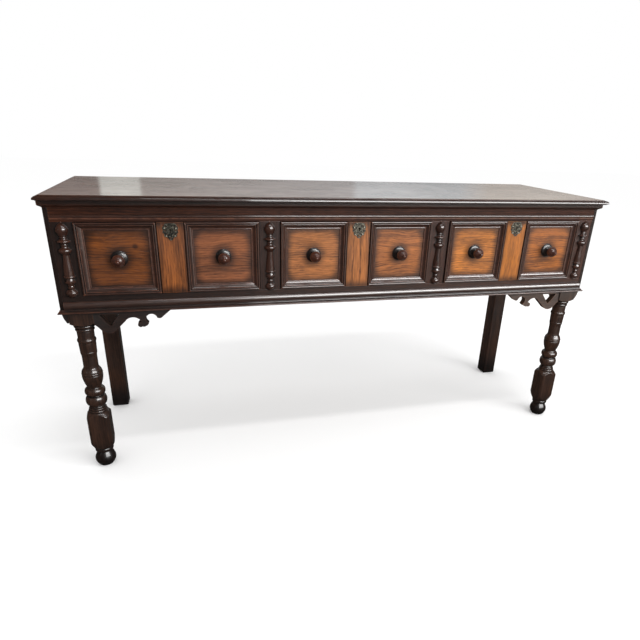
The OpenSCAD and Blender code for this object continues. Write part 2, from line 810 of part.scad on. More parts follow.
module drawer_strip(drawer) {
    half = strip_bay_w / 2 - strip_groove;
    bevel = 1.5;
    color(oak_gold)
        translate([drawer[0], 0, 0])
            difference() {
                translate([0, 0, front_z0])
                    linear_extrude(front_h)
                        polygon([[-half, field_set], [-half, strip_face_y + bevel],
                                 [bevel - half, strip_face_y], [half - bevel, strip_face_y],
                                 [half, strip_face_y + bevel], [half, field_set]]);
                keyhole(strip_face_y - slack, field_set + slack);
            }
}

module drawer_escutcheon(drawer) {
    w = escutcheon_w;
    color(old_brass)
        translate([drawer[0], strip_face_y, 0])
            difference() {
                translate([0, 0, key_z])
                    rotate([90, 0, 0]) {
                        linear_extrude(escutcheon_t)
                            difference() {
                                union() {
                                    circle(r = w * 0.43);
                                    for (lobe = [[0.36, 0.1, 0.14], [0.24, 0.27, 0.14], [0.38, -0.14, 0.11],
                                                 [0.27, -0.34, 0.13]], side = [-1, 1])
                                        translate([side * lobe[0], lobe[1]] * w)
                                            circle(r = lobe[2] * w);
                                    for (lobe = [[0.27, 0.15], [-0.34, 0.26], [-0.53, 0.15]])
                                        translate([0, lobe[0] * w])
                                            circle(r = lobe[1] * w);
                                }
                                for (hole = [[0.27, 0.2], [0.33, -0.06], [0.22, -0.32]], side = [-1, 1])
                                    translate([side * hole[0], hole[1]] * w)
                                        circle(r = w * 0.05);
                                translate([0, -w * 0.54])
                                    circle(r = w * 0.06);
                            }
                        linear_extrude(escutcheon_t * 1.7)
                            difference() {
                                circle(r = w * 0.21);
                                circle(r = w * 0.15);
                            }
                    }
                keyhole(-2 * escutcheon_t - slack, slack);
            }
}

module drawer_sides(drawer) {
    half = drawer[1] / 2;
    back_y0 = drawer_l - drawer_back_t;
    housing = drawer_side_t / 4;
    groove_h = tongue_h + 2 * runner_gap;
    color(oak_pale)
        translate([drawer[0], 0, 0])
            for (side = [0, 1])
                mirror([side, 0, 0])
                    difference() {
                        union() {
                            box(half - drawer_side_t, half, front_back_y, drawer_l, side_z0, side_z1);
                            dovetails(half - drawer_side_t, half, 0);
                        }
                        box(half + bar_gap - tongue_out - runner_gap, half + slack,
                            frame_t - runner_gap, drawer_l + slack,
                            tongue_z - groove_h / 2, tongue_z + groove_h / 2);
                        box(half - drawer_side_t - slack, half - drawer_side_t + housing,
                            back_y0 - tenon_gap, drawer_l + slack, side_z0 - slack, side_z1 + slack);
                    }
}

module drawer_back(drawer) {
    half = drawer[1] / 2 - drawer_side_t * 0.75 - tenon_gap;
    back_set = 10;
    color(oak_pale)
        box(drawer[0] - half, drawer[0] + half, drawer_l - drawer_back_t, drawer_l,
            side_z0, side_z1 - back_set);
}

module drawer_bottom(drawer) {
    half = drawer[1] / 2 - tenon_gap;
    color(oak_pale)
        box(drawer[0] - half, drawer[0] + half, front_back_y - drawer_bottom_t, drawer_l,
            drawer_floor_z, side_z0);
}

function knob_profile() =
    let (l = knob_l, rose = knob_rose_r, head = knob_head_r)
    concat([[rose * 0.94, 0]],
           bulge(0.5, l * 0.085, rose * 0.97, rose * 0.8, 5),
           cove(l * 0.085, l * 0.13, rose * 0.8, rose * 0.62, 4),
           bead(l * 0.13, l * 0.18, rose * 0.62, rose * 0.06, 5),
           cove(l * 0.19, l * 0.28, rose * 0.6, head * 0.55, 5),
           [[head * 0.55, l * 0.33]],
           bulge(l * 0.33, l * 0.58, head * 0.62, head, 8),
           bulge(l * 0.58, l * 0.78, head, head * 0.62, 8),
           cove(l * 0.78, l * 0.9, head * 0.62, head * 0.24),
           bead(l * 0.9, l, head * 0.04, head * 0.2, 6));

module drawer_knobs(drawer) {
    color(oak_dark)
        knob_places(drawer) {
            rotate_extrude()
                polygon(closed(knob_profile()));
            translate([0, 0, -front_t - knob_shank_past])
                cylinder(h = front_t + knob_shank_past + slack, d = knob_shank_d);
        }
}

module lock_case(drawer) {
    color(iron)
        translate([drawer[0], 0, 0])
            difference() {
                box(-lock_w / 2, lock_w / 2, lock_y0, front_back_y, front_z1 - lock_h, front_z1);
                box(-bolt_w / 2 - bolt_gap, bolt_w / 2 + bolt_gap,
                    bolt_y - bolt_t / 2 - bolt_gap, bolt_y + bolt_t / 2 + bolt_gap,
                    bolt_z1 - bolt_h - bolt_gap, front_z1 + slack);
                keyhole(lock_y0 - slack, lock_y0 + lock_t / 8);
            }
}

module lock_bolt(drawer) {
    color(iron)
        box(drawer[0] - bolt_w / 2, drawer[0] + bolt_w / 2, bolt_y - bolt_t / 2, bolt_y + bolt_t / 2,
            bolt_z1 - bolt_h, bolt_z1);
}

in_place() top_boards();
in_place() top_moulding_front();
in_place() top_moulding_returns();
in_place() top_rail();
in_place() frieze_bead();
in_place() stile(-outer_stile_x, outer_stile_w);  // outer_stile_left
in_place() stile(outer_stile_x, outer_stile_w);  // outer_stile_right
in_place() stile(-inner_stile_x, inner_stile_w);  // inner_stile_left
in_place() stile(inner_stile_x, inner_stile_w);  // inner_stile_right
in_place() bottom_rail();
in_place() torus_moulding();
in_place() base_moulding_front();
in_place() base_moulding_returns();
in_place() mirror([1, 0, 0]) side_board();  // side_board_left
in_place() side_board();  // side_board_right
in_place() back_boards();
in_place() back_rails();
in_place() mirror([1, 0, 0]) front_leg();  // front_leg_left
in_place() front_leg();  // front_leg_right
in_place() mirror([1, 0, 0]) rear_leg();  // rear_leg_left
in_place() rear_leg();  // rear_leg_right
in_place() mirror([1, 0, 0]) bracket();  // bracket_left
in_place() bracket();  // bracket_right
in_place() bracket_ears();
in_place() outer_balusters();
in_place() inner_balusters();
in_place() drawer_runners();
in_place() drawer_stops();
in_place() oak_pegs();
in_place() drawer_front(left);  // left_drawer_front
in_place() drawer_mouldings(left);  // left_drawer_mouldings
in_place() drawer_strip(left);  // left_drawer_strip
in_place() drawer_escutcheon(left);  // left_drawer_escutcheon
in_place() drawer_sides(left);  // left_drawer_sides
in_place() drawer_back(left);  // left_drawer_back
in_place() drawer_bottom(left);  // left_drawer_bottom
in_place() drawer_knobs(left);  // left_drawer_knobs
in_place() lock_case(left);  // left_lock_case
in_place() lock_bolt(left);  // left_lock_bolt
in_place() drawer_front(middle);  // middle_drawer_front
in_place() drawer_mouldings(middle);  // middle_drawer_mouldings
in_place() drawer_strip(middle);  // middle_drawer_strip
in_place() drawer_escutcheon(middle);  // middle_drawer_escutcheon
in_place() drawer_sides(middle);  // middle_drawer_sides
in_place() drawer_back(middle);  // middle_drawer_back
in_place() drawer_bottom(middle);  // middle_drawer_bottom
in_place() drawer_knobs(middle);  // middle_drawer_knobs
in_place() lock_case(middle);  // middle_lock_case
in_place() lock_bolt(middle);  // middle_lock_bolt
in_place() drawer_front(right);  // right_drawer_front
in_place() drawer_mouldings(right);  // right_drawer_mouldings
in_place() drawer_strip(right);  // right_drawer_strip
in_place() drawer_escutcheon(right);  // right_drawer_escutcheon
in_place() drawer_sides(right);  // right_drawer_sides
in_place() drawer_back(right);  // right_drawer_back
in_place() drawer_bottom(right);  // right_drawer_bottom
in_place() drawer_knobs(right);  // right_drawer_knobs
in_place() lock_case(right);  // right_lock_case
in_place() lock_bolt(right);  // right_lock_bolt
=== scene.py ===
"""Dresses the oak dresser base: aged oak on every board and moulding, turned legs, balusters and
knobs with worn arrises, pierced brass escutcheons with their pins, and a plain studio stage."""

import json
import math

import bmesh
import bpy
from bpy.props import FloatProperty, FloatVectorProperty, IntProperty, PointerProperty
from mathutils import Matrix, Vector


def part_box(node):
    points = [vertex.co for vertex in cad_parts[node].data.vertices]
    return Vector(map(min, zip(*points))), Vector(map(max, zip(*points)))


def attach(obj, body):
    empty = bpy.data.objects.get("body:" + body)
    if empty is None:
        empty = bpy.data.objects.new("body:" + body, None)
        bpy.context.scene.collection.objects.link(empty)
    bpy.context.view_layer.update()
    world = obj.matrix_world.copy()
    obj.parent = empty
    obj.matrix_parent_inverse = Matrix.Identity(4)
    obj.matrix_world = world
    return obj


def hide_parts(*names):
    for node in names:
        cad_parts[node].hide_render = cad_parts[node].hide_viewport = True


bl_info = {
    "name": "Panelled Oak Dresser",
    "version": (1, 0, 0),
    "blender": (4, 5, 0),
    "location": "View3D > Sidebar > Dresser",
    "description": "Finishes the panelled oak dresser base and sets it on a plain studio stage",
    "category": "Object",
}

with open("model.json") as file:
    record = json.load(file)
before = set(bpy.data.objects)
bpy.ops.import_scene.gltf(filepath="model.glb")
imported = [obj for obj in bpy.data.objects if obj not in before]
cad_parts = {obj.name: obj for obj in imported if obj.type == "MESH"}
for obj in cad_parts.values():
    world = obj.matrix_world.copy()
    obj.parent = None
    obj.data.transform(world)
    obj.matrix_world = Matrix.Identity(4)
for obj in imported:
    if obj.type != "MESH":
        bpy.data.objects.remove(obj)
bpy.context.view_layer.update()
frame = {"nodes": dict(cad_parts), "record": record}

DRAWERS = ("left", "middle", "right")
BODY_OF = {node: body for body, nodes in frame["record"]["behaviour"]["bodies"].items() for node in nodes}

# Points closer than this are one point, in metres
WELD = 2e-6
# Rays that look for shelter or an edge near a point
RAYS = 6


def colour_setting(name, description, default):
    """A colour that the panel shows."""
    return FloatVectorProperty(name=name, description=description, subtype="COLOR", size=3, min=0, max=1,
                               default=default)


def number_setting(name, description, low, high, default, unit="NONE"):
    """A number that the panel shows."""
    return FloatProperty(name=name, description=description, unit=unit, min=low, max=high, default=default)


def length_setting(name, description, low, high, default):
    """A length that the panel shows, in metres."""
    return number_setting(name, description, low, high, default, "LENGTH")


class OakLooks(bpy.types.PropertyGroup):
    """Colours of the oak and how far its age shows."""

    # The panel and strip colours are partly the oak's own tones and partly painted light: darker to the left
    # and brighter to the right, as more light falls on the right
    panel_1: colour_setting(
        "Panel 1", "Oak of the panel at the far left, the darkest", (0.158, 0.042, 0.0050))
    panel_2: colour_setting("Panel 2", "Oak of the second panel, a little pinker", (0.215, 0.066, 0.020))
    panel_3: colour_setting("Panel 3", "Oak of the third panel", (0.350, 0.118, 0.027))
    panel_4: colour_setting("Panel 4", "Oak of the fourth panel", (0.330, 0.104, 0.022))
    panel_5: colour_setting("Panel 5", "Oak of the fifth panel, the brightest", (0.440, 0.142, 0.0185))
    panel_6: colour_setting("Panel 6", "Oak of the panel at the far right", (0.330, 0.096, 0.011))
    strip_left: colour_setting(
        "Left strip", "Oak of the upright strip of the left drawer", (0.216, 0.063, 0.0123))
    strip_middle: colour_setting(
        "Middle strip", "Oak of the upright strip of the middle drawer", (0.300, 0.098, 0.021))
    strip_right: colour_setting(
        "Right strip", "Oak of the upright strip of the right drawer", (0.330, 0.100, 0.008))
    frame: colour_setting("Frame oak", "Near black brown of the rails and stiles", (0.022, 0.0082, 0.0048))
    frieze: colour_setting("Frieze oak", "Red brown of the rail under the top", (0.049, 0.0136, 0.0052))
    moulding: colour_setting(
        "Moulding oak", "Dark brown of the mouldings, balusters and knobs", (0.046, 0.0170, 0.0098))
    leg: colour_setting("Leg oak", "Brown of the legs and the rear posts", (0.037, 0.0155, 0.0083))
    top: colour_setting("Top oak", "Brown of the polished top", (0.120, 0.050, 0.027))
    lining: colour_setting(
        "Lining oak", "Unpolished oak inside the drawers and the case", (0.33, 0.20, 0.095))
    # Painted shade as well as dirt: this colour darkens every sheltered corner, quirk and gap
    dirt_and_shade: colour_setting("Grime", "Old wax and dirt in the quirks and corners", (0.006, 0.004, 0.003))
    arris: length_setting(
        "Worn arris", "Rounding that wear left on the edges of boards", 0.0002, 0.003, 0.0012)
    ring_width: length_setting("Ring width", "Width of a growth ring", 0.001, 0.02, 0.0070)
    fade: length_setting("Dark border", "Width of the darkened border of a panel", 0.005, 0.08, 0.027)


class TurningLooks(bpy.types.PropertyGroup):
    """How finely the turned pieces are cut."""

    sides: IntProperty(name="Sides", description="Facets round a turned piece", min=24, max=160, default=96)
    arris: length_setting(
        "Leg arris", "Rounding of the arrises on the square parts of the legs", 0.0005, 0.006, 0.0022)
    shank: length_setting(
        "Knob shank", "Radius of the shank that holds a knob in its board", 0.004, 0.008, 0.006)


class BrassLooks(bpy.types.PropertyGroup):
    """Colours of the escutcheons, and their pins."""

    bright: colour_setting("Rubbed brass", "Metal on the high spots", (0.46, 0.43, 0.33))
    tarnish: colour_setting("Tarnish", "Grey green film in the hollows", (0.020, 0.020, 0.018))
    pin: length_setting("Pin", "Radius of the head of an escutcheon pin", 0.0008, 0.003, 0.0017)


class StageLooks(bpy.types.PropertyGroup):
    """Camera, light and floor."""

    camera_place: FloatVectorProperty(
        name="Camera", description="Place of the camera",
        subtype="TRANSLATION", size=3, unit="LENGTH", default=(-0.4848, -1.7544, 1.0251))
    pitch: number_setting("Pitch", "How far the camera looks down", -1.5, 1.5, 0.405257, "ROTATION")
    yaw: number_setting("Yaw", "How far the camera turns to the left", -3, 3, -0.295401, "ROTATION")
    roll: number_setting("Roll", "How far the camera leans", -1.5, 1.5, 0.046996, "ROTATION")
    lens: number_setting("Lens", "Focal length on a sensor 36 mm wide, in millimetres", 10, 200, 29.40)
    floor_colour: colour_setting("Floor", "Colour of the plain floor", (0.99, 0.99, 0.99))
    daylight: number_setting("Daylight", "Strength of the even light of the room", 0, 3, 1.0)
    key: number_setting("Key light", "Brightness of the long softbox in front", 0, 30, 17.0)
    window: number_setting("Windows", "Brightness of the wall and windows that the top reflects", 0, 10, 0.85)
    sheen: number_setting("Sheen", "Brightness of the floor that the front reflects", 0, 10, 1.0)


def node_in(tree, kind, inputs=None, **settings):
    """Adds a node, with its settings, and gives its inputs values or links."""
    made = tree.nodes.new(kind)
    for name, value in settings.items():
        setattr(made, name, value)
    for key, value in (inputs or {}).items():
        if isinstance(value, bpy.types.NodeSocket):
            tree.links.new(value, made.inputs[key])
        else:
            made.inputs[key].default_value = value
    return made


def result_of(tree, kind, inputs=None, **settings):
    """The first output of a new node."""
    return node_in(tree, kind, inputs, **settings).outputs[0]


def maths(tree, operation, a, b=0.0, clamp=False):
    """One math step; returns its result."""
    return result_of(tree, "ShaderNodeMath", {0: a, 1: b}, operation=operation, use_clamp=clamp)


def vectors(tree, operation, a, b=(0.0, 0.0, 0.0)):
    """One step with vectors; returns a vector, or a number where a length or a distance is asked for."""
    result = "Value" if operation in ("LENGTH", "DISTANCE") else "Vector"
    return node_in(tree, "ShaderNodeVectorMath", {0: a, 1: b}, operation=operation).outputs[result]


def stretched(tree, vector, factors):
    """A vector with each axis scaled by its own factor."""
    return vectors(tree, "MULTIPLY", vector, factors)


def noise(tree, vector, scale, detail=2.0, rough=0.5, output="Fac"):
    """A noise pattern with features of about 1 / scale metres."""
    made = node_in(tree, "ShaderNodeTexNoise",
                   {"Vector": vector, "Scale": scale, "Detail": detail, "Roughness": rough})
    return made.outputs[output]


def ramp(tree, value, low, high, to_low=0.0, to_high=1.0, smooth=True):
    """A value carried from one range to another, and held at the ends."""
    return result_of(tree, "ShaderNodeMapRange",
                     {"Value": value, "From Min": low, "From Max": high, "To Min": to_low, "To Max": to_high},
                     interpolation_type="SMOOTHSTEP" if smooth else "LINEAR")


def mixed(tree, share, first, second, blend="MIX"):
    """Two colours mixed by a share."""
    first, second = (colour if isinstance(colour, bpy.types.NodeSocket) else (*colour, 1.0)
                     for colour in (first, second))
    return node_in(tree, "ShaderNodeMix", {0: share, 6: first, 7: second}, data_type="RGBA",
                   blend_type=blend, clamp_factor=True).outputs[2]


def weighed(tree, first, first_share, second, second_share):
    """The sum of two numbers, each taken by its own share."""
    return maths(tree, "ADD", maths(tree, "MULTIPLY", first, first_share),
                 maths(tree, "MULTIPLY", second, second_share))


def axes_of(tree, vector):
    """The three numbers of a vector, by axis."""
    return node_in(tree, "ShaderNodeSeparateXYZ", {0: vector}).outputs


def joined(tree, x=0.0, y=0.0, z=0.0):
    """A vector made of three numbers."""
    return result_of(tree, "ShaderNodeCombineXYZ", {0: x, 1: y, 2: z})


def bumped(tree, height, strength, depth):
    """The slope of a surface that a pattern raises."""
    return result_of(tree, "ShaderNodeBump", {"Height": height, "Strength": strength, "Distance": depth})


def object_place(tree):
    """Where a point lies on its object."""
    return node_in(tree, "ShaderNodeTexCoord").outputs["Object"]


def tinted(tree, colour, by):
    """A colour multiplied by another."""
    return mixed(tree, 1.0, colour, by, "MULTIPLY")


def takes(tree, kinds):
    """Adds the inputs of a node group, kind by name; returns what comes in."""
    for name, kind in kinds.items():
        tree.interface.new_socket(name=name, in_out="INPUT", socket_type="NodeSocket" + kind)
    return node_in(tree, "NodeGroupInput").outputs


def gives(tree, results, kind="Float"):
    """Adds the outputs of a node group, by name, all of one kind."""
    for name in results:
        tree.interface.new_socket(name=name, in_out="OUTPUT", socket_type="NodeSocket" + kind)
    node_in(tree, "NodeGroupOutput", results)


def shader_group(name, *numbers):
    """A shader node group that takes a place and some numbers."""
    tree = bpy.data.node_groups.new(name, "ShaderNodeTree")
    return tree, takes(tree, {"Vector": "Vector", **dict.fromkeys(numbers, "Float")})


def use_group(tree, name, inputs):
    """A shared node group with its inputs set; returns its outputs."""
    return node_in(tree, "ShaderNodeGroup", inputs, node_tree=bpy.data.node_groups[name]).outputs


def oak_figure_group():
    """Growth rings, open pores and long streaks of oak, with the grain along X."""
    tree, given = shader_group("Oak Figure", "Ring Width", "Wander", "Pith Y", "Pith Z")
    place = given["Vector"]
    along = stretched(tree, place, (0.5, 1.0, 1.0))
    drift = vectors(tree, "SUBTRACT", noise(tree, along, 7.0, 3.0, output="Color"), (0.5, 0.5, 0.5))
    moved = vectors(tree, "ADD", place, stretched(tree, drift, given["Wander"]))
    axes = axes_of(tree, moved)
    from_pith = joined(tree, y=maths(tree, "ADD", axes["Y"], given["Pith Y"]),
                       z=maths(tree, "ADD", axes["Z"], given["Pith Z"]))
    count = maths(tree, "DIVIDE", vectors(tree, "LENGTH", from_pith), given["Ring Width"])
    phase = maths(tree, "FRACT", count)
    index = maths(tree, "FLOOR", count)
    tone = node_in(tree, "ShaderNodeTexWhiteNoise", {"W": index}, noise_dimensions="1D").outputs["Value"]
    early = ramp(tree, phase, 0.0, 0.42, 1.0, 0.0)
    late = ramp(tree, phase, 0.0, 0.30, 0.0, 1.0)
    fine = noise(tree, stretched(tree, moved, (22.0, 240.0, 240.0)), 1.0, 4.0, 0.65)
    broad = noise(tree, stretched(tree, moved, (2.5, 42.0, 42.0)), 1.0, 3.0, 0.55)
    holes = noise(tree, stretched(tree, moved, (45.0, 620.0, 620.0)), 1.0, 1.0)
    pores = maths(tree, "MULTIPLY", ramp(tree, holes, 0.52, 0.64), ramp(tree, early, 0.1, 0.7))
    gives(tree, {"Rings": weighed(tree, late, 0.65, tone, 0.35),
                 "Streaks": ramp(tree, weighed(tree, fine, 0.55, broad, 0.45), 0.37, 0.63), "Pores": pores,
                 "Height": maths(tree, "SUBTRACT", maths(tree, "MULTIPLY", fine, 0.35), pores)})


def patina_group():
    """Dirt and painted shade in sheltered places, rubbed arrises with painted highlight, and cloudy wax, all
    as masks.
    """
    tree, given = shader_group("Patina", "Shelter", "Edge", "Grime", "Rub")
    place = given["Vector"]
    speck = noise(tree, place, 60.0, 3.0, 0.6)
    held = maths(tree, "MULTIPLY", given["Shelter"], ramp(tree, speck, 0.2, 0.7, 0.75, 1.15))
    edge = maths(tree, "MULTIPLY", given["Edge"], ramp(tree, speck, 0.3, 0.7, 0.25, 1.0))
    gives(tree, {"Grime": maths(tree, "MULTIPLY", held, given["Grime"], clamp=True),
                 "Rub": maths(tree, "MULTIPLY", edge, given["Rub"], clamp=True),
                 "Cloud": noise(tree, place, 9.0, 4.0, 0.6), "Dent": noise(tree, place, 24.0)})


def field_group():
    """Where a point lies on the panels of a drawer: how far in from the border, how far from the knob, on
    which of the two panels, and whether it is on the bare face inside the drawer."""
    tree, given = shader_group("Panel Field", "Centre", "Level", "Offset", "Half Width", "Half Height",
                               "Corner", "Back")
    axes = axes_of(tree, given["Vector"])
    across = maths(tree, "SUBTRACT", axes["X"], given["Centre"])
    over = maths(tree, "SUBTRACT", maths(tree, "ABSOLUTE", across), given["Offset"])
    up = maths(tree, "SUBTRACT", axes["Z"], given["Level"])
    past = []
    for value, half in ((over, "Half Width"), (up, "Half Height")):
        straight = maths(tree, "SUBTRACT", given[half], given["Corner"])
        past.append(maths(tree, "SUBTRACT", maths(tree, "ABSOLUTE", value), straight))
    corner = joined(tree, maths(tree, "MAXIMUM", past[0], 0.0), maths(tree, "MAXIMUM", past[1], 0.0))
    inside = maths(tree, "MINIMUM", maths(tree, "MAXIMUM", past[0], past[1]), 0.0)
    outside = maths(tree, "ADD", vectors(tree, "LENGTH", corner), inside)
    gives(tree, {"Depth": maths(tree, "SUBTRACT", given["Corner"], outside),
                 "Knob": vectors(tree, "LENGTH", joined(tree, over, up)),
                 "Side": maths(tree, "GREATER_THAN", across),
                 "Bare": maths(tree, "GREATER_THAN", axes["Y"], given["Back"])})


def blank(name):
    """The empty node tree of a new material."""
    material = bpy.data.materials.new(name)
    material.use_nodes = True
    material.node_tree.nodes.clear()
    return material.node_tree


def ends_in(tree, inputs, kind="ShaderNodeBsdfPrincipled"):
    """The shader that a material ends in."""
    node_in(tree, "ShaderNodeOutputMaterial", {"Surface": result_of(tree, kind, inputs)})


def aged(tree, places, dirt_and_shade, wear_and_highlight, reach, arris, sky=0.35):
    """The masks of age and of painted shade. Dirt and painted shade darken where what lies within reach hides
    the sky: fully where the share of the sky that is seen is down to sky, and not from 0.6 above that.
    Rubbing, with painted highlight, shows within the width of an arris."""
    shelter = node_in(tree, "ShaderNodeAmbientOcclusion", {"Distance": reach}, samples=RAYS).outputs["AO"]
    inward = node_in(tree, "ShaderNodeAmbientOcclusion", {"Distance": arris}, samples=RAYS, inside=True,
                     only_local=True).outputs["AO"]
    return use_group(tree, "Patina", {
        "Vector": places, "Shelter": ramp(tree, shelter, sky, sky + 0.6, 1.0, 0.0),
        "Edge": ramp(tree, inward, 0.55, 0.93, 1.0, 0.0), "Grime": dirt_and_shade, "Rub": wear_and_highlight})


def times(colour, *factors):
    """A colour with its channels scaled, all by one factor or each by its own."""
    return tuple(c * factor for c, factor in zip(colour, factors if len(factors) == 3 else factors * 3))


GRAIN_TURN = {"x": (0.0, 0.0, 0.0), "y": (0.0, 0.0, math.pi / 2), "z": (0.0, math.pi / 2, 0.0)}
# What the colour of oak is multiplied by under cloudy wax, in pores, in dark borders, and where it is rubbed
# and lit as painted highlight
CLOUDED = (0.62, 0.58, 0.60)
IN_PORES = (0.26, 0.22, 0.24)
IN_BORDER = (0.17, 0.17, 0.23)
RUBBED_AND_LIT = (4.0, 3.8, 3.5)


def oak(name, colour, grain="x", contrast=0.5, gloss=0.32, coat=0.25, dirt_and_shade=0.8, wear_and_highlight=0.4, reach=0.012,
        wander=0.02, pith=(0.35, 0.2), shift=(0.0, 0.0, 0.0), relief=0.00025, coat_gloss=0.14, field=None,
        other=None, knot=None, halo=0.0, polish=0.5, drift=None):
    """Aged oak: figure, pores, cloudy wax, dirt and painted shade in the corners, and rubbed arrises that
    carry painted highlight. A field darkens the border of a panel and leaves the inner face bare, halo is how
    dark the wood round its knob is, as painted shadow of the knob, and other is the colour of the drawer's
    right hand panel. Without a field the colour drifts to other between two places on an axis, where drift
    gives them. knot is the place of a small knot, [x, z]."""
    looks = bpy.context.scene.dresser_oak
    tree = blank(name)
    places = object_place(tree)
    turned = result_of(tree, "ShaderNodeMapping", {"Vector": places, "Location": shift,
                                                   "Rotation": GRAIN_TURN[grain]})
    figure = use_group(tree, "Oak Figure", {"Vector": turned, "Ring Width": looks.ring_width,
                                            "Wander": wander, "Pith Y": pith[0], "Pith Z": pith[1]})
    age = aged(tree, places, dirt_and_shade, wear_and_highlight, reach, arris=0.0028)

    tint = colour
    if field:
        area = use_group(tree, "Panel Field", {"Vector": places, **field})
        tint = mixed(tree, area["Side"], colour, other or colour)
    elif drift:
        axis, start, end = drift
        tint = mixed(tree, ramp(tree, axes_of(tree, places)[axis], start, end), colour, other)
    share = weighed(tree, figure["Rings"], 0.45, figure["Streaks"], 0.55)
    depth = mixed(tree, share, (1 - contrast, (1 - contrast) * 0.86, (1 - contrast) * 0.78),
                  (1 + contrast, 1 + contrast * 1.05, 1 + contrast * 1.1))
    wood = tinted(tree, tint, depth)
    wood = mixed(tree, ramp(tree, age["Cloud"], 0.3, 0.7, 0.0, 0.5), wood, tinted(tree, wood, CLOUDED))
    wood = mixed(tree, maths(tree, "MULTIPLY", figure["Pores"], 0.75), wood, tinted(tree, wood, IN_PORES))
    if field:
        ragged = maths(tree, "ADD", area["Depth"],
                       ramp(tree, age["Cloud"], 0.2, 0.8, -0.010, 0.010, smooth=False))
        border = ramp(tree, ragged, 0.0, looks.fade, 0.93, 0.0)
        # Painted shadow of the knob: the wood darkens in a ring round it
        knob_shadow = ramp(tree, area["Knob"], 0.018, 0.048, halo, 0.0)
        wood = mixed(tree, maths(tree, "MAXIMUM", border, knob_shadow), wood, tinted(tree, wood, IN_BORDER))
        bare = mixed(tree, share, times(looks.lining, 0.65), times(looks.lining, 1.3))
        wood = mixed(tree, area["Bare"], wood, bare)
    if knot:
        away = vectors(tree, "DISTANCE", stretched(tree, places, (1.0, 0.0, 1.0)), (knot[0], 0.0, knot[1]))
        wood = mixed(tree, ramp(tree, away, 0.003, 0.011, 0.75, 0.0), wood, times(colour, 0.12))
    # Rubbed arrises lighten: wear, and painted highlight where the edges catch the light
    wood = mixed(tree, age["Rub"], wood, tinted(tree, tint, RUBBED_AND_LIT))

    sheen = maths(tree, "ADD", ramp(tree, age["Cloud"], 0.25, 0.75, gloss - 0.06, gloss + 0.10),
                  maths(tree, "MULTIPLY", age["Grime"], 0.25))
    surface = weighed(tree, figure["Height"], 0.6, age["Dent"], 1.6)
    # Sheltered corners, quirks and gaps darken towards the grime colour: dirt and painted shade
    ends_in(tree, {"Base Color": mixed(tree, age["Grime"], wood, tuple(looks.dirt_and_shade)), "Roughness": sheen,
                   "Normal": bumped(tree, surface, 0.6, relief), "Coat Weight": coat,
                   "Coat Roughness": coat_gloss, "Coat IOR": 1.7, "IOR": 1.5, "Specular IOR Level": polish})


def brass(name, bare):
    """Old brass: grey green tarnish in the hollows and rubbed metal on the high spots. bare is the share of
    the face that is free of tarnish."""
    looks = bpy.context.scene.dresser_brass
    tree = blank(name)
    places = object_place(tree)
    age = aged(tree, places, 1.0, 1.0, reach=0.003, arris=0.0008, sky=0.3)
    film = noise(tree, places, 420.0, 3.0, 0.6)
    base = mixed(tree, ramp(tree, film, 0.75 - bare, 0.95 - bare), tuple(looks.tarnish), tuple(looks.bright))
    rubbed = mixed(tree, age["Rub"], base, tuple(looks.bright))
    ends_in(tree, {"Base Color": mixed(tree, age["Grime"], rubbed, times(looks.tarnish, 0.35)),
                   "Roughness": ramp(tree, film, 0.3, 0.7, 0.5, 0.28),
                   "Normal": bumped(tree, film, 0.5, 0.0002), "Metallic": 0.85})


def iron(name):
    """Dull wrought iron with rust in the hollows."""
    grey, rust = (0.09, 0.085, 0.08), (0.16, 0.075, 0.035)
    tree = blank(name)
    scale = noise(tree, object_place(tree), 140.0, 4.0, 0.65)
    ends_in(tree, {"Base Color": mixed(tree, ramp(tree, scale, 0.45, 0.65), grey, rust),
                   "Roughness": ramp(tree, scale, 0.3, 0.7, 0.4, 0.75),
                   "Normal": bumped(tree, scale, 0.5, 0.0003), "Metallic": 0.7})


def panel_field(side):
    """Where the two panels of a drawer lie, worked out from its mouldings."""
    low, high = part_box(side + "_drawer_mouldings")
    strip_low, strip_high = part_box(side + "_drawer_strip")
    inset, corner, play = 0.017, 0.040, 0.0024
    bay = strip_high.x - strip_low.x + play
    width = (high.x - low.x - bay) / 2
    return {"Centre": (low.x + high.x) / 2, "Level": (low.z + high.z) / 2, "Offset": (width + bay) / 2,
            "Half Width": width / 2 - inset, "Half Height": (high.z - low.z) / 2 - inset, "Corner": corner,
            "Back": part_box(side + "_drawer_front")[1].y - bpy.context.scene.dresser_oak.arris * 2}


def strip_field(side):
    """The face of the strip between two panels, which darkens more at its ends than at its sides."""
    low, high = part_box(side + "_drawer_strip")
    past, corner = 0.012, 0.02
    return {"Centre": (low.x + high.x) / 2, "Level": (low.z + high.z) / 2, "Offset": 0.0,
            "Half Width": (high.x - low.x) / 2 + past, "Half Height": (high.z - low.z) / 2, "Corner": corner}


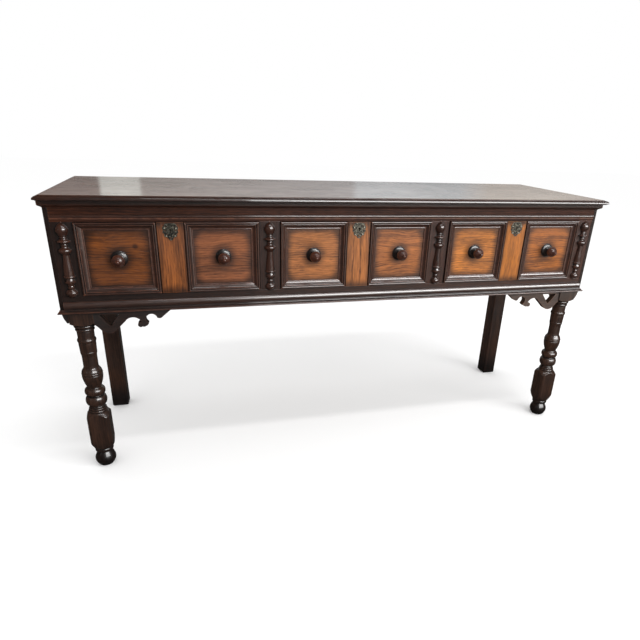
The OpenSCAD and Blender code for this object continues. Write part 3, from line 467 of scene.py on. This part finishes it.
class DRESSER_OT_finishes(bpy.types.Operator):
    """Mix every finish of the dresser"""

    bl_idname = "dresser.finishes"
    bl_label = "Finishes"

    def execute(self, context):
        looks = context.scene.dresser_oak
        oak_figure_group()
        patina_group()
        field_group()
        dark, frieze, moulding, leg, top, lining = (tuple(c) for c in (
            looks.frame, looks.frieze, looks.moulding, looks.leg, looks.top, looks.lining))
        drawers = {"left": (looks.panel_1, looks.panel_2, looks.strip_left, 0.045, 0.0),
                   "middle": (looks.panel_3, looks.panel_4, looks.strip_middle, 0.08, 1.7),
                   "right": (looks.panel_5, looks.panel_6, looks.strip_right, 0.05, 3.1)}
        knot_x, knot_z = 0.044, 0.033
        for side, (first, second, strip, wander, shift) in drawers.items():
            field = panel_field(side)
            knot = None
            if side == "left":
                knot = (field["Centre"] - field["Offset"] + knot_x, field["Level"] + knot_z)
            oak("panel_" + side, tuple(first), "x", 0.85, gloss=0.40, coat=0.2, wear_and_highlight=0.1, reach=0.02,
                wander=wander, shift=(shift, 0.0, shift), relief=0.0004, field=field, other=tuple(second),
                knot=knot, halo=0.85, polish=0.3)
            oak("strip_" + side, tuple(strip), "z", 0.90, gloss=0.40, coat=0.2, dirt_and_shade=0.9, wear_and_highlight=0.2,
                reach=0.017, pith=(0.1, 0.5), shift=(0.0, shift, 0.0), field=strip_field(side), polish=0.3)
        for grain in "xyz":
            # The frame lightens towards the right: painted light, where more light falls on the right end
            oak("frame_" + grain, dark, grain, 0.65, gloss=0.42, dirt_and_shade=1.0, reach=0.022, polish=0.25,
                other=times(dark, 2.7, 2.1, 1.6), drift=("X", -0.75, 0.35))
            oak("moulding_" + grain, moulding, grain, gloss=0.36, coat=0.8, dirt_and_shade=1.0, wear_and_highlight=1.0,
                reach=0.013, coat_gloss=0.09, polish=0.3)
            oak("lining_" + grain, lining, grain, 0.35, gloss=0.62, coat=0.0, dirt_and_shade=0.5, wear_and_highlight=0.1, reach=0.02)
        oak("frieze", frieze, "x", 0.90, gloss=0.46, coat=0.1, reach=0.014, relief=0.0004, polish=0.12)
        # The side boards are darker than the frame: painted shade, for the end that stands out of the light
        oak("side", times(dark, 0.7), "y", 0.45, gloss=0.45, coat=0.2, polish=0.2)
        # The top darkens along its front edge: painted shade on the edge of its thumb moulding
        oak("top", times(dark, 1.6), "x", 0.45, gloss=0.34, coat=0.8, dirt_and_shade=0.2, wear_and_highlight=0.3, wander=0.025,
            relief=0.00003, coat_gloss=0.06, polish=0.4, other=top, drift=("Y", -0.247, -0.238))
        oak("torus", times(moulding, 0.8), "x", 0.60, gloss=0.34, coat=1.0, dirt_and_shade=1.0, wear_and_highlight=0.6,
            coat_gloss=0.20)
        oak("leg", times(dark, 0.35), "z", 0.75, gloss=0.38, coat=0.7, dirt_and_shade=1.0, wear_and_highlight=0.8, reach=0.018,
            relief=0.0001, coat_gloss=0.15, polish=0.3, other=leg, drift=("Z", 0.02, 0.12))
        # The knob darkens towards its board: painted shade on the rose, while the head stays lighter
        oak("knob", times(moulding, 1.45, 1.15, 1.0), "y", gloss=0.40, coat=0.5, dirt_and_shade=1.0, wear_and_highlight=0.6,
            reach=0.03, relief=0.0001, coat_gloss=0.12, polish=0.3, other=times(dark, 0.4),
            drift=("Y", -0.240, -0.226))
        # The brackets lighten towards the right: painted light, where the right bracket catches more light
        oak("bracket", dark, "x", 0.60, gloss=0.45, coat=0.2, dirt_and_shade=1.0, wear_and_highlight=0.9, relief=0.0001,
            coat_gloss=0.25, other=(0.072, 0.040, 0.027), drift=("X", -0.5, 0.8))
        oak("back", times(lining, 0.20), "x", 0.55, gloss=0.7, coat=0.0, dirt_and_shade=0.6, reach=0.02)
        oak("peg", times(top, 1.4), "z", 0.4, gloss=0.3)
        brass("brass", 0.25)
        brass("pin_brass", 0.60)
        iron("iron")
        return {"FINISHED"}


def set_materials(mesh, *names):
    """A mesh takes these finishes, in this order."""
    mesh.materials.clear()
    for name in names:
        mesh.materials.append(bpy.data.materials[name])


def shade(mesh, degrees):
    """Smooth shading, with the edges over an angle kept sharp."""
    mesh.polygons.foreach_set("use_smooth", [True] * len(mesh.polygons))
    mesh.set_sharp_from_angle(angle=math.radians(degrees))
    mesh.update()


def settled(piece):
    """The piece with its modifiers applied to its mesh."""
    graph = bpy.context.evaluated_depsgraph_get()
    solid = bpy.data.meshes.new_from_object(piece.evaluated_get(graph), depsgraph=graph)
    if not solid.polygons:
        raise RuntimeError(piece.name + " came out empty")
    piece.modifiers.clear()
    solid.name = piece.name
    piece.data = solid
    return piece


def take_over(piece, node):
    """The piece stands for a CAD node, and moves and is finished as that node is."""
    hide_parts(node)
    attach(piece, BODY_OF[node])


def new_piece(name, data):
    """A new object of the scene, with its mesh, light or lens."""
    piece = bpy.data.objects.new(name, data)
    bpy.context.scene.collection.objects.link(piece)
    return piece


def islands(bm):
    """The separate solids of a mesh, as lists of faces."""
    left = set(bm.faces)
    found = []
    while left:
        start = left.pop()
        group, edge_on = [start], [start]
        while edge_on:
            face = edge_on.pop()
            for edge in face.edges:
                for other in edge.link_faces:
                    if other in left:
                        left.remove(other)
                        group.append(other)
                        edge_on.append(other)
        found.append(group)
    return found


def long_way(faces):
    """The index of the axis along which a solid is longest."""
    points = [v.co for f in faces for v in f.verts]
    spans = [max(p[i] for p in points) - min(p[i] for p in points) for i in range(3)]
    return spans.index(max(spans))


def softened(node, materials, arris, sharp=28.0, by_length=False):
    """A copy of a CAD node with its arrises rounded by wear. With by_length, each of its solids takes
    the material of the axis that it is longest along."""
    flat, crease = 0.6, 50.0
    mesh = frame["nodes"][node].data.copy()
    mesh.name = node + "_worn"
    bm = bmesh.new()
    bm.from_mesh(mesh)
    bmesh.ops.remove_doubles(bm, verts=bm.verts, dist=WELD)
    bmesh.ops.dissolve_limit(bm, angle_limit=math.radians(flat), verts=bm.verts, edges=bm.edges)
    edges = [e for e in bm.edges if len(e.link_faces) == 2 and e.calc_face_angle() > math.radians(sharp)]
    bmesh.ops.bevel(bm, geom=edges, offset=arris, offset_type="OFFSET", segments=2, profile=0.5,
                    affect="EDGES", clamp_overlap=True)
    if by_length:
        for group in islands(bm):
            way = long_way(group)
            for face in group:
                face.material_index = way
    bm.to_mesh(mesh)
    bm.free()
    set_materials(mesh, *materials)
    shade(mesh, crease)
    piece = new_piece(node + "_worn", mesh)
    flats = piece.modifiers.new("flats", "WEIGHTED_NORMAL")
    flats.keep_sharp = True
    take_over(settled(piece), node)


def dress_node(node, *materials):
    """A CAD node that keeps its own mesh takes a finish."""
    set_materials(frame["nodes"][node].data, *materials)


def bead(z0, z1, radius, out, steps=14):
    """Half round that stands out from a radius."""
    middle, half = (z0 + z1) / 2, (z1 - z0) / 2
    return [(radius + out * math.sin(math.pi * i / steps), middle - half * math.cos(math.pi * i / steps))
            for i in range(steps + 1)]


def flow(z0, z1, r0, r1, steps=14):
    """Smooth S from one radius to another."""
    return [(r0 + (r1 - r0) * (1 - math.cos(math.pi * i / steps)) / 2, z0 + (z1 - z0) * i / steps)
            for i in range(steps + 1)]


def bulge(z0, z1, r0, r1, steps=12):
    """Convex quarter from one radius to another."""
    turns = [math.pi / 2 * i / steps for i in range(steps + 1)]
    radii = [r0 + (r1 - r0) * math.sin(t) if r1 > r0 else r1 + (r0 - r1) * math.cos(t) for t in turns]
    return [(radius, z0 + (z1 - z0) * i / steps) for i, radius in enumerate(radii)]


def cove(z0, z1, r0, r1, steps=9):
    """Hollow quarter from one radius to another."""
    turns = [math.pi / 2 * i / steps for i in range(steps + 1)]
    radii = [r1 - (r1 - r0) * math.cos(t) if r1 > r0 else r0 - (r0 - r1) * math.sin(t) for t in turns]
    return [(radius, z0 + (z1 - z0) * i / steps) for i, radius in enumerate(radii)]


def turned_tree():
    """Geometry Nodes: the points of a profile, [radius, 0, height], are carried round Z in so many sides,
    the back half is pressed flat where the piece is split, and the result stands on every place."""
    tree = bpy.data.node_groups.new("Turned Piece", "GeometryNodeTree")
    tree.is_modifier = True
    given = takes(tree, {"Profile": "Geometry", "Places": "Object", "Sides": "Int", "Tilt": "Float",
                         "Split": "Bool", "Finish": "Material"})
    count = node_in(tree, "GeometryNodeAttributeDomainSize", {"Geometry": given["Profile"]})
    row = result_of(tree, "FunctionNodeIntegerMath", {0: given["Sides"], 1: 1}, operation="ADD")
    grid = node_in(tree, "GeometryNodeMeshGrid",
                   {"Vertices X": count.outputs["Point Count"], "Vertices Y": row}).outputs["Mesh"]
    index = result_of(tree, "GeometryNodeInputIndex")
    ring = result_of(tree, "FunctionNodeIntegerMath", {0: index, 1: row}, operation="DIVIDE_FLOOR")
    step = result_of(tree, "FunctionNodeIntegerMath", {0: index, 1: row}, operation="MODULO")
    place = result_of(tree, "GeometryNodeInputPosition")
    found = result_of(tree, "GeometryNodeSampleIndex",
                      {"Geometry": given["Profile"], "Value": place, "Index": ring}, data_type="FLOAT_VECTOR")
    point = axes_of(tree, found)
    angle = maths(tree, "MULTIPLY", maths(tree, "DIVIDE", step, given["Sides"]), -2 * math.pi)
    across = maths(tree, "MULTIPLY", point["X"], maths(tree, "COSINE", angle))
    back = maths(tree, "MULTIPLY", point["X"], maths(tree, "SINE", angle))
    front = maths(tree, "MINIMUM", back, 0.0)
    half = result_of(tree, "GeometryNodeSwitch", {"Switch": given["Split"], "False": back, "True": front},
                     input_type="FLOAT")
    wrapped = result_of(tree, "GeometryNodeSetPosition",
                        {"Geometry": grid, "Position": joined(tree, across, half, point["Z"])})
    closed = result_of(tree, "GeometryNodeMergeByDistance", {"Geometry": wrapped, "Distance": WELD})
    spots = node_in(tree, "GeometryNodeObjectInfo", {"Object": given["Places"]}).outputs["Geometry"]
    turn = result_of(tree, "FunctionNodeEulerToRotation", {0: joined(tree, given["Tilt"])})
    copies = result_of(tree, "GeometryNodeInstanceOnPoints",
                       {"Points": spots, "Instance": closed, "Rotation": turn})
    real = result_of(tree, "GeometryNodeRealizeInstances", {"Geometry": copies})
    finished = result_of(tree, "GeometryNodeSetMaterial", {"Geometry": real, "Material": given["Finish"]})
    gives(tree, {"Piece": finished}, "Geometry")
    return tree


def turned(name, profile, places, finish, tilt=0.0, split=False, sides=None):
    """Turned pieces of one profile at every place, as one plain mesh."""
    crease = 32.0
    tree = bpy.data.node_groups.get("Turned Piece") or turned_tree()
    line = bpy.data.meshes.new(name)
    line.from_pydata([(radius, 0.0, height) for radius, height in profile],
                     [(i, i + 1) for i in range(len(profile) - 1)], [])
    piece = new_piece(name, line)
    spots = bpy.data.meshes.new(name + "_places")
    spots.from_pydata([tuple(place) for place in places], [], [])
    marks = new_piece(name + "_places", spots)
    modifier = piece.modifiers.new("turned", "NODES")
    modifier.node_group = tree
    values = {"Places": marks, "Sides": sides or bpy.context.scene.dresser_turning.sides, "Tilt": tilt,
              "Split": split, "Finish": bpy.data.materials[finish]}
    for item in tree.interface.items_tree:
        if item.item_type == "SOCKET" and item.in_out == "INPUT" and item.name in values:
            modifier[item.identifier] = values[item.name]
    settled(piece)
    bpy.data.objects.remove(marks)
    shade(piece.data, crease)
    return piece


def solid_boxes(node):
    """The lowest and highest corner of each solid of a CAD node, from left to right."""
    bm = bmesh.new()
    bm.from_mesh(frame["nodes"][node].data)
    bmesh.ops.remove_doubles(bm, verts=bm.verts, dist=WELD)
    boxes = []
    for group in islands(bm):
        points = [v.co for f in group for v in f.verts]
        boxes.append([Vector([pick(p[i] for p in points) for i in range(3)]) for pick in (min, max)])
    bm.free()
    return sorted(boxes, key=lambda box: box[0].x)


class DRESSER_OT_case(bpy.types.Operator):
    """Finish the top, the front frame, the sides and the posts"""

    bl_idname = "dresser.case"
    bl_label = "Case boards"

    def execute(self, context):
        arris = context.scene.dresser_oak.arris
        softened("top_boards", ["top"], arris)
        softened("top_rail", ["frieze"], arris)
        softened("bottom_rail", ["frame_x"], arris)
        for node in ("outer_stile_left", "outer_stile_right", "inner_stile_left", "inner_stile_right"):
            softened(node, ["frame_z"], arris)
        for side in ("left", "right"):
            softened("side_board_" + side, ["side"], arris)
            softened("rear_leg_" + side, ["leg"], arris * 1.5)
        return {"FINISHED"}


class DRESSER_OT_mouldings(bpy.types.Operator):
    """Finish the mouldings of the case"""

    bl_idname = "dresser.mouldings"
    bl_label = "Mouldings"

    def execute(self, context):
        arris = context.scene.dresser_oak.arris * 0.5
        for node in ("top_moulding_front", "frieze_bead", "base_moulding_front"):
            softened(node, ["moulding_x"], arris)
        softened("torus_moulding", ["torus"], arris)
        for node in ("top_moulding_returns", "base_moulding_returns"):
            softened(node, ["moulding_y"], arris)
        return {"FINISHED"}


class DRESSER_OT_legs(bpy.types.Operator):
    """Turn the front legs"""

    bl_idname = "dresser.legs"
    bl_label = "Front legs"

    def execute(self, context):
        for side in ("left", "right"):
            softened("front_leg_" + side, ["leg"], context.scene.dresser_turning.arris, sharp=45.0)
        return {"FINISHED"}


# Height of a baluster in its outline, which is drawn in millimetres
BALUSTER_H = 205


def baluster_profile():
    """Half outline of a baluster, [radius, height]."""
    return [(0, 0), (5, 0), *bulge(0, 12, 7, 15.3), *bulge(12, 23, 15.3, 8), *bead(23.5, 33, 7.2, 1.6),
            *cove(34, 41, 8.4, 13.6), (14, 42), (14, 46), *cove(46.5, 54, 13, 10.4),
            *bead(55.5, 60.5, 13.6, 1.9), *flow(61, 116, 13, 8.8), *cove(116, 123, 9, 13.8),
            *bead(124.5, 133, 14.4, 2.4), *cove(133.5, 139, 13.6, 8.6), *bead(139.5, 147, 7.6, 1.4),
            *cove(147.5, 151.5, 9, 15.6), *bead(151.6, 156, 15.6, 1.6), *cove(156.1, 161, 15.2, 9),
            *bead(161.5, 166.5, 8, 1.2), *bulge(167, 184, 9.2, 16), *bulge(184, 198, 16, 8),
            *cove(198, BALUSTER_H, 8, 0.6), (0, BALUSTER_H)]


class DRESSER_OT_balusters(bpy.types.Operator):
    """Turn the split balusters"""

    bl_idname = "dresser.balusters"
    bl_label = "Split balusters"

    def execute(self, context):
        for node in ("outer_balusters", "inner_balusters"):
            boxes = solid_boxes(node)
            scale = (boxes[0][1].z - boxes[0][0].z) / BALUSTER_H
            places = [((low.x + high.x) / 2, high.y, low.z) for low, high in boxes]
            profile = [(radius * scale, height * scale) for radius, height in baluster_profile()]
            take_over(turned(node + "_turned", profile, places, "moulding_z", split=True), node)
        return {"FINISHED"}


class DRESSER_OT_brackets(bpy.types.Operator):
    """Finish the pierced brackets and the ears"""

    bl_idname = "dresser.brackets"
    bl_label = "Brackets and ears"

    def execute(self, context):
        for node in ("bracket_left", "bracket_right", "bracket_ears"):
            softened(node, ["bracket"], context.scene.dresser_oak.arris)
        return {"FINISHED"}


class DRESSER_OT_drawers(bpy.types.Operator):
    """Finish the drawer fronts, their mouldings, strips and linings"""

    bl_idname = "dresser.drawers"
    bl_label = "Drawers"

    def execute(self, context):
        arris = context.scene.dresser_oak.arris
        for side in DRAWERS:
            softened(side + "_drawer_front", ["panel_" + side], arris * 0.6)
            softened(side + "_drawer_strip", ["strip_" + side], arris * 0.6)
            softened(side + "_drawer_mouldings", ["moulding_x", "moulding_y", "moulding_z"], arris * 0.35,
                     by_length=True)
            dress_node(side + "_drawer_sides", "lining_y")
            dress_node(side + "_drawer_back", "lining_x")
            dress_node(side + "_drawer_bottom", "lining_x")
        return {"FINISHED"}


# Widest part of a knob's rose in its outline, and the radius of the knob's head, both in radii of the rose
ROSE_WIDEST = 0.97
HEAD_SHARE = 17 / 23


def knob_profile(length, rose, head, shank, depth):
    """Half outline of a knob with its shank, [radius, height], from the face of its board at height 0."""
    return [(0, -depth), (shank, -depth), (shank, 0), (rose * 0.94, 0),
            *bulge(length * 0.01, length * 0.085, rose * ROSE_WIDEST, rose * 0.8),
            *cove(length * 0.085, length * 0.13, rose * 0.8, rose * 0.62),
            *bead(length * 0.13, length * 0.18, rose * 0.62, rose * 0.06),
            *cove(length * 0.19, length * 0.28, rose * 0.6, head * 0.55), (head * 0.55, length * 0.33),
            *bulge(length * 0.33, length * 0.58, head * 0.62, head),
            *bulge(length * 0.58, length * 0.78, head, head * 0.62),
            *cove(length * 0.78, length * 0.9, head * 0.62, head * 0.24),
            *bead(length * 0.9, length, head * 0.04, head * 0.2), (0, length)]


class DRESSER_OT_knobs(bpy.types.Operator):
    """Turn the knobs of the drawers"""

    bl_idname = "dresser.knobs"
    bl_label = "Knobs"

    def execute(self, context):
        for side in DRAWERS:
            node = side + "_drawer_knobs"
            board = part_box(side + "_drawer_front")[0].y
            boxes = solid_boxes(node)
            low, high = boxes[0]
            rose = (high.x - low.x) / 2 / ROSE_WIDEST
            profile = knob_profile(board - low.y, rose, rose * HEAD_SHARE,
                                   context.scene.dresser_turning.shank, high.y - board)
            places = [((a.x + b.x) / 2, board, (a.z + b.z) / 2) for a, b in boxes]
            take_over(turned(node + "_turned", profile, places, "knob", tilt=math.pi / 2), node)
        return {"FINISHED"}


# Height of an escutcheon's middle, and the places of its pins from there, in widths of the plate
PLATE_MIDDLE = 0.68
PIN_PLACES = ((-0.36, 0.10), (0.36, 0.10), (-0.27, -0.40), (0.27, -0.40))


class DRESSER_OT_metalwork(bpy.types.Operator):
    """Finish the escutcheons and the locks, and set the pins of the escutcheons"""

    bl_idname = "dresser.metalwork"
    bl_label = "Escutcheons and locks"

    def execute(self, context):
        radius = context.scene.dresser_brass.pin
        sunk, plate_t, plate_arris = 0.0008, 0.0016, 0.0003
        dome = [(0, -sunk), (radius, -sunk), *bulge(0, radius * 0.6, radius, 0, 6)]
        for side in DRAWERS:
            node = side + "_drawer_escutcheon"
            low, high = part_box(node)
            width = high.x - low.x
            middle = (low.x + high.x) / 2
            level = low.z + PLATE_MIDDLE * width
            places = [(middle + x * width, high.y - plate_t, level + z * width) for x, z in PIN_PLACES]
            softened(node, ["brass"], plate_arris)
            pins = turned(side + "_escutcheon_pins", dome, places, "pin_brass", tilt=math.pi / 2, sides=16)
            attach(pins, BODY_OF[node])
            dress_node(side + "_lock_case", "iron")
            dress_node(side + "_lock_bolt", "iron")
        return {"FINISHED"}


class DRESSER_OT_inside(bpy.types.Operator):
    """Finish the pieces behind the front: runners, stops, rails, back boards and pegs"""

    bl_idname = "dresser.inside"
    bl_label = "Inner pieces"

    def execute(self, context):
        softened("back_boards", ["back"], context.scene.dresser_oak.arris * 1.5)
        dress_node("back_rails", "lining_x")
        dress_node("drawer_runners", "lining_y")
        dress_node("drawer_stops", "lining_x")
        dress_node("oak_pegs", "peg")
        return {"FINISHED"}


def aim(place, target):
    """A matrix at a place, with -Z towards the target and +Y up."""
    ahead = (Vector(target) - Vector(place)).normalized()
    turn = ahead.to_track_quat("-Z", "Y").to_matrix().to_4x4()
    return Matrix.Translation(Vector(place)) @ turn


def soft_light(name, place, target, width, height, brightness, polish_only=False):
    """A softbox of one even brightness, which the camera itself doesn't see. With polish_only it gives no
    light but its reflection."""
    light = bpy.data.lights.new(name, "AREA")
    light.shape = "RECTANGLE"
    light.size = width
    light.size_y = height
    light.energy = brightness * math.pi * width * height
    lamp = new_piece(name, light)
    lamp.matrix_world = aim(place, target)
    lamp.visible_camera = False
    lamp.visible_diffuse = not polish_only


def flat_card(name, corners):
    """A card of one face."""
    card = new_piece(name, bpy.data.meshes.new(name))
    card.data.from_pydata(corners, [], [(0, 1, 2, 3)])
    return card


def glow_card(name, corners, stops, strength, rise=(1.0, 1.0)):
    """A card that only the polish of the wood sees. stops are [x, colour] from left to right, and rise is
    how bright it is below and above the part where it brightens."""
    low, high = 1.03, 1.20
    card = flat_card(name, corners)
    tree = blank(name)
    axes = axes_of(tree, object_place(tree))
    start, end = stops[0][0], stops[-1][0]
    share = ramp(tree, axes["X"], start, end, smooth=False)
    level = ramp(tree, axes["Z"], low, high, rise[0] * strength, rise[1] * strength, smooth=False)
    scale = node_in(tree, "ShaderNodeValToRGB", {"Fac": share})
    marks = scale.color_ramp.elements
    while len(marks) < len(stops):
        marks.new(0.5)
    for mark, (x, colour) in zip(marks, stops):
        mark.position = (x - start) / (end - start)
        mark.color = (*colour, 1.0)
    ends_in(tree, {"Color": scale.outputs["Color"], "Strength": level}, "ShaderNodeEmission")
    set_materials(card.data, name)
    for ray in ("camera", "diffuse", "transmission", "volume_scatter", "shadow"):
        setattr(card, "visible_" + ray, False)


def far_wall(looks):
    """The wall behind the dresser, which the top reflects: a narrow window, a dim stretch that grows
    lighter, a wide window and a warm wall."""
    dim, warm, pane, grey, cool, tan, end = (
        (0.29, 0.25, 0.23), (0.50, 0.47, 0.44), (0.95, 0.96, 0.90), (0.64, 0.64, 0.64), (0.87, 0.92, 0.94),
        (0.92, 0.87, 0.80), (0.66, 0.61, 0.57))
    stops = [(-2.6, dim), (-1.137, dim), (-1.135, pane), (-0.832, pane), (-0.830, warm), (0.825, grey),
             (0.840, cool), (1.80, cool), (2.10, tan), (2.9, tan), (3.4, end), (4.6, end)]
    corners = [(-2.6, 2.6, 0.92), (4.6, 2.6, 0.92), (4.6, 2.6, 1.5), (-2.6, 2.6, 1.5)]
    glow_card("far_wall", corners, stops, looks.window, rise=(0.72, 1.22))


def floor_glow(looks):
    """Daylight on the floor in front, stronger to the right, which the upright faces reflect."""
    stops = [(-0.5, (0.02, 0.017, 0.014)), (0.1, (0.52, 0.45, 0.40)), (2.0, (0.70, 0.60, 0.52)),
             (5.0, (0.66, 0.58, 0.50))]
    corners = [(-0.5, -4.2, 0.004), (5.0, -4.2, 0.004), (5.0, -1.4, 0.004), (-0.5, -1.4, 0.004)]
    glow_card("floor_glow", corners, stops, looks.sheen)


def pale_room(looks):
    """White to the camera, an even light on the wood, and dim in its polish."""
    world = bpy.data.worlds.new("pale_room")
    bpy.context.scene.world = world
    world.use_nodes = True
    tree = world.node_tree
    tree.nodes.clear()
    ray = node_in(tree, "ShaderNodeLightPath").outputs
    polish = mixed(tree, ray["Is Glossy Ray"], (looks.daylight,) * 3, (0.022, 0.021, 0.020))
    seen = mixed(tree, ray["Is Camera Ray"], polish, (1.0, 1.0, 1.0))
    back = result_of(tree, "ShaderNodeBackground", {"Color": seen, "Strength": 1.0})
    node_in(tree, "ShaderNodeOutputWorld", {"Surface": back})


def pale_floor(looks):
    """A wide plain floor, darker in the polish of the wood than to the camera."""
    half = 14.0
    floor = flat_card("floor", [(-half, -half, 0), (half, -half, 0), (half, half, 0), (-half, half, 0)])
    tree = blank("pale_floor")
    ray = node_in(tree, "ShaderNodeLightPath").outputs
    polish = mixed(tree, ray["Is Glossy Ray"], (0.34, 0.33, 0.32), (0.045, 0.042, 0.040))
    seen = mixed(tree, ray["Is Camera Ray"], polish, tuple(looks.floor_colour))
    ends_in(tree, {"Base Color": seen, "Roughness": 1.0, "Specular IOR Level": 0.0})
    set_materials(floor.data, "pale_floor")


class DRESSER_OT_stage(bpy.types.Operator):
    """Set the floor, the lights and the camera"""

    bl_idname = "dresser.stage"
    bl_label = "Studio stage"

    def execute(self, context):
        looks = context.scene.dresser_stage
        pale_room(looks)
        pale_floor(looks)
        front = (0.2, -0.25, 0.60)
        soft_light("long_softbox", (1.9, -2.9, 2.3), front, 3.4, 0.26, looks.key)
        soft_light("overhead", (0.8, -1.1, 3.0), (0.8, -0.2, 0.6), 3.2, 0.20, looks.key * 0.6)
        soft_light("wide_window", (2.6, -3.2, 2.15), (2.6, 0.0, 1.4), 5.2, 2.6, looks.key * 0.46,
                   polish_only=True)
        soft_light("left_fill", (-3.2, -1.8, 1.5), (-0.8, 0.0, 0.6), 0.5, 1.0, looks.key * 0.05)
        soft_light("back_fill", (0.0, 3.4, 1.9), (0.0, 0.2, 0.7), 3.4, 0.4, looks.key * 0.1)

        far_wall(looks)
        floor_glow(looks)

        lens = bpy.data.cameras.new("camera")
        lens.sensor_width = 36.0
        lens.lens = looks.lens
        lens.shift_x = -0.0433
        lens.shift_y = 0.0515
        lens.clip_end = 60.0
        camera = new_piece("camera", lens)
        level = Vector((math.cos(looks.yaw), math.sin(looks.yaw), 0.0))
        ahead = Vector((-math.sin(looks.yaw), math.cos(looks.yaw), 0.0))
        up = Vector((0.0, 0.0, math.cos(looks.pitch))) + ahead * math.sin(looks.pitch)
        gaze = ahead * math.cos(looks.pitch) - Vector((0.0, 0.0, math.sin(looks.pitch)))
        right = level * math.cos(looks.roll) + up * math.sin(looks.roll)
        over = up * math.cos(looks.roll) - level * math.sin(looks.roll)
        turn = Matrix((right, over, -gaze)).transposed().to_4x4()
        camera.matrix_world = Matrix.Translation(Vector(looks.camera_place)) @ turn
        context.scene.camera = camera
        context.scene.view_settings.view_transform = "Standard"
        return {"FINISHED"}


class DRESSER_PT_panel(bpy.types.Panel):
    """The steps that finish the dresser, in order"""

    bl_idname = "DRESSER_PT_panel"
    bl_label = "Panelled Dresser"
    bl_space_type = "VIEW_3D"
    bl_region_type = "UI"
    bl_category = "Dresser"

    def draw(self, context):
        for step in STEPS:
            self.layout.operator(step.bl_idname)
        for looks in LOOKS:
            group = getattr(context.scene, looks)
            for name in group.__annotations__:
                self.layout.prop(group, name)


LOOKS = {"dresser_oak": OakLooks, "dresser_turning": TurningLooks, "dresser_brass": BrassLooks,
         "dresser_stage": StageLooks}
STEPS = (DRESSER_OT_finishes, DRESSER_OT_case, DRESSER_OT_mouldings, DRESSER_OT_legs,
         DRESSER_OT_balusters, DRESSER_OT_brackets, DRESSER_OT_drawers, DRESSER_OT_knobs,
         DRESSER_OT_metalwork, DRESSER_OT_inside, DRESSER_OT_stage)
CLASSES = (*LOOKS.values(), *STEPS, DRESSER_PT_panel)


def register():
    for cls in CLASSES:
        bpy.utils.register_class(cls)
    for name, looks in LOOKS.items():
        setattr(bpy.types.Scene, name, PointerProperty(type=looks))


def unregister():
    for name in LOOKS:
        delattr(bpy.types.Scene, name)
    for cls in reversed(CLASSES):
        bpy.utils.unregister_class(cls)


def main():
    register()
    for step in STEPS:
        family, name = step.bl_idname.split(".")
        getattr(getattr(bpy.ops, family), name)()


if __name__ == "__main__":
    main()
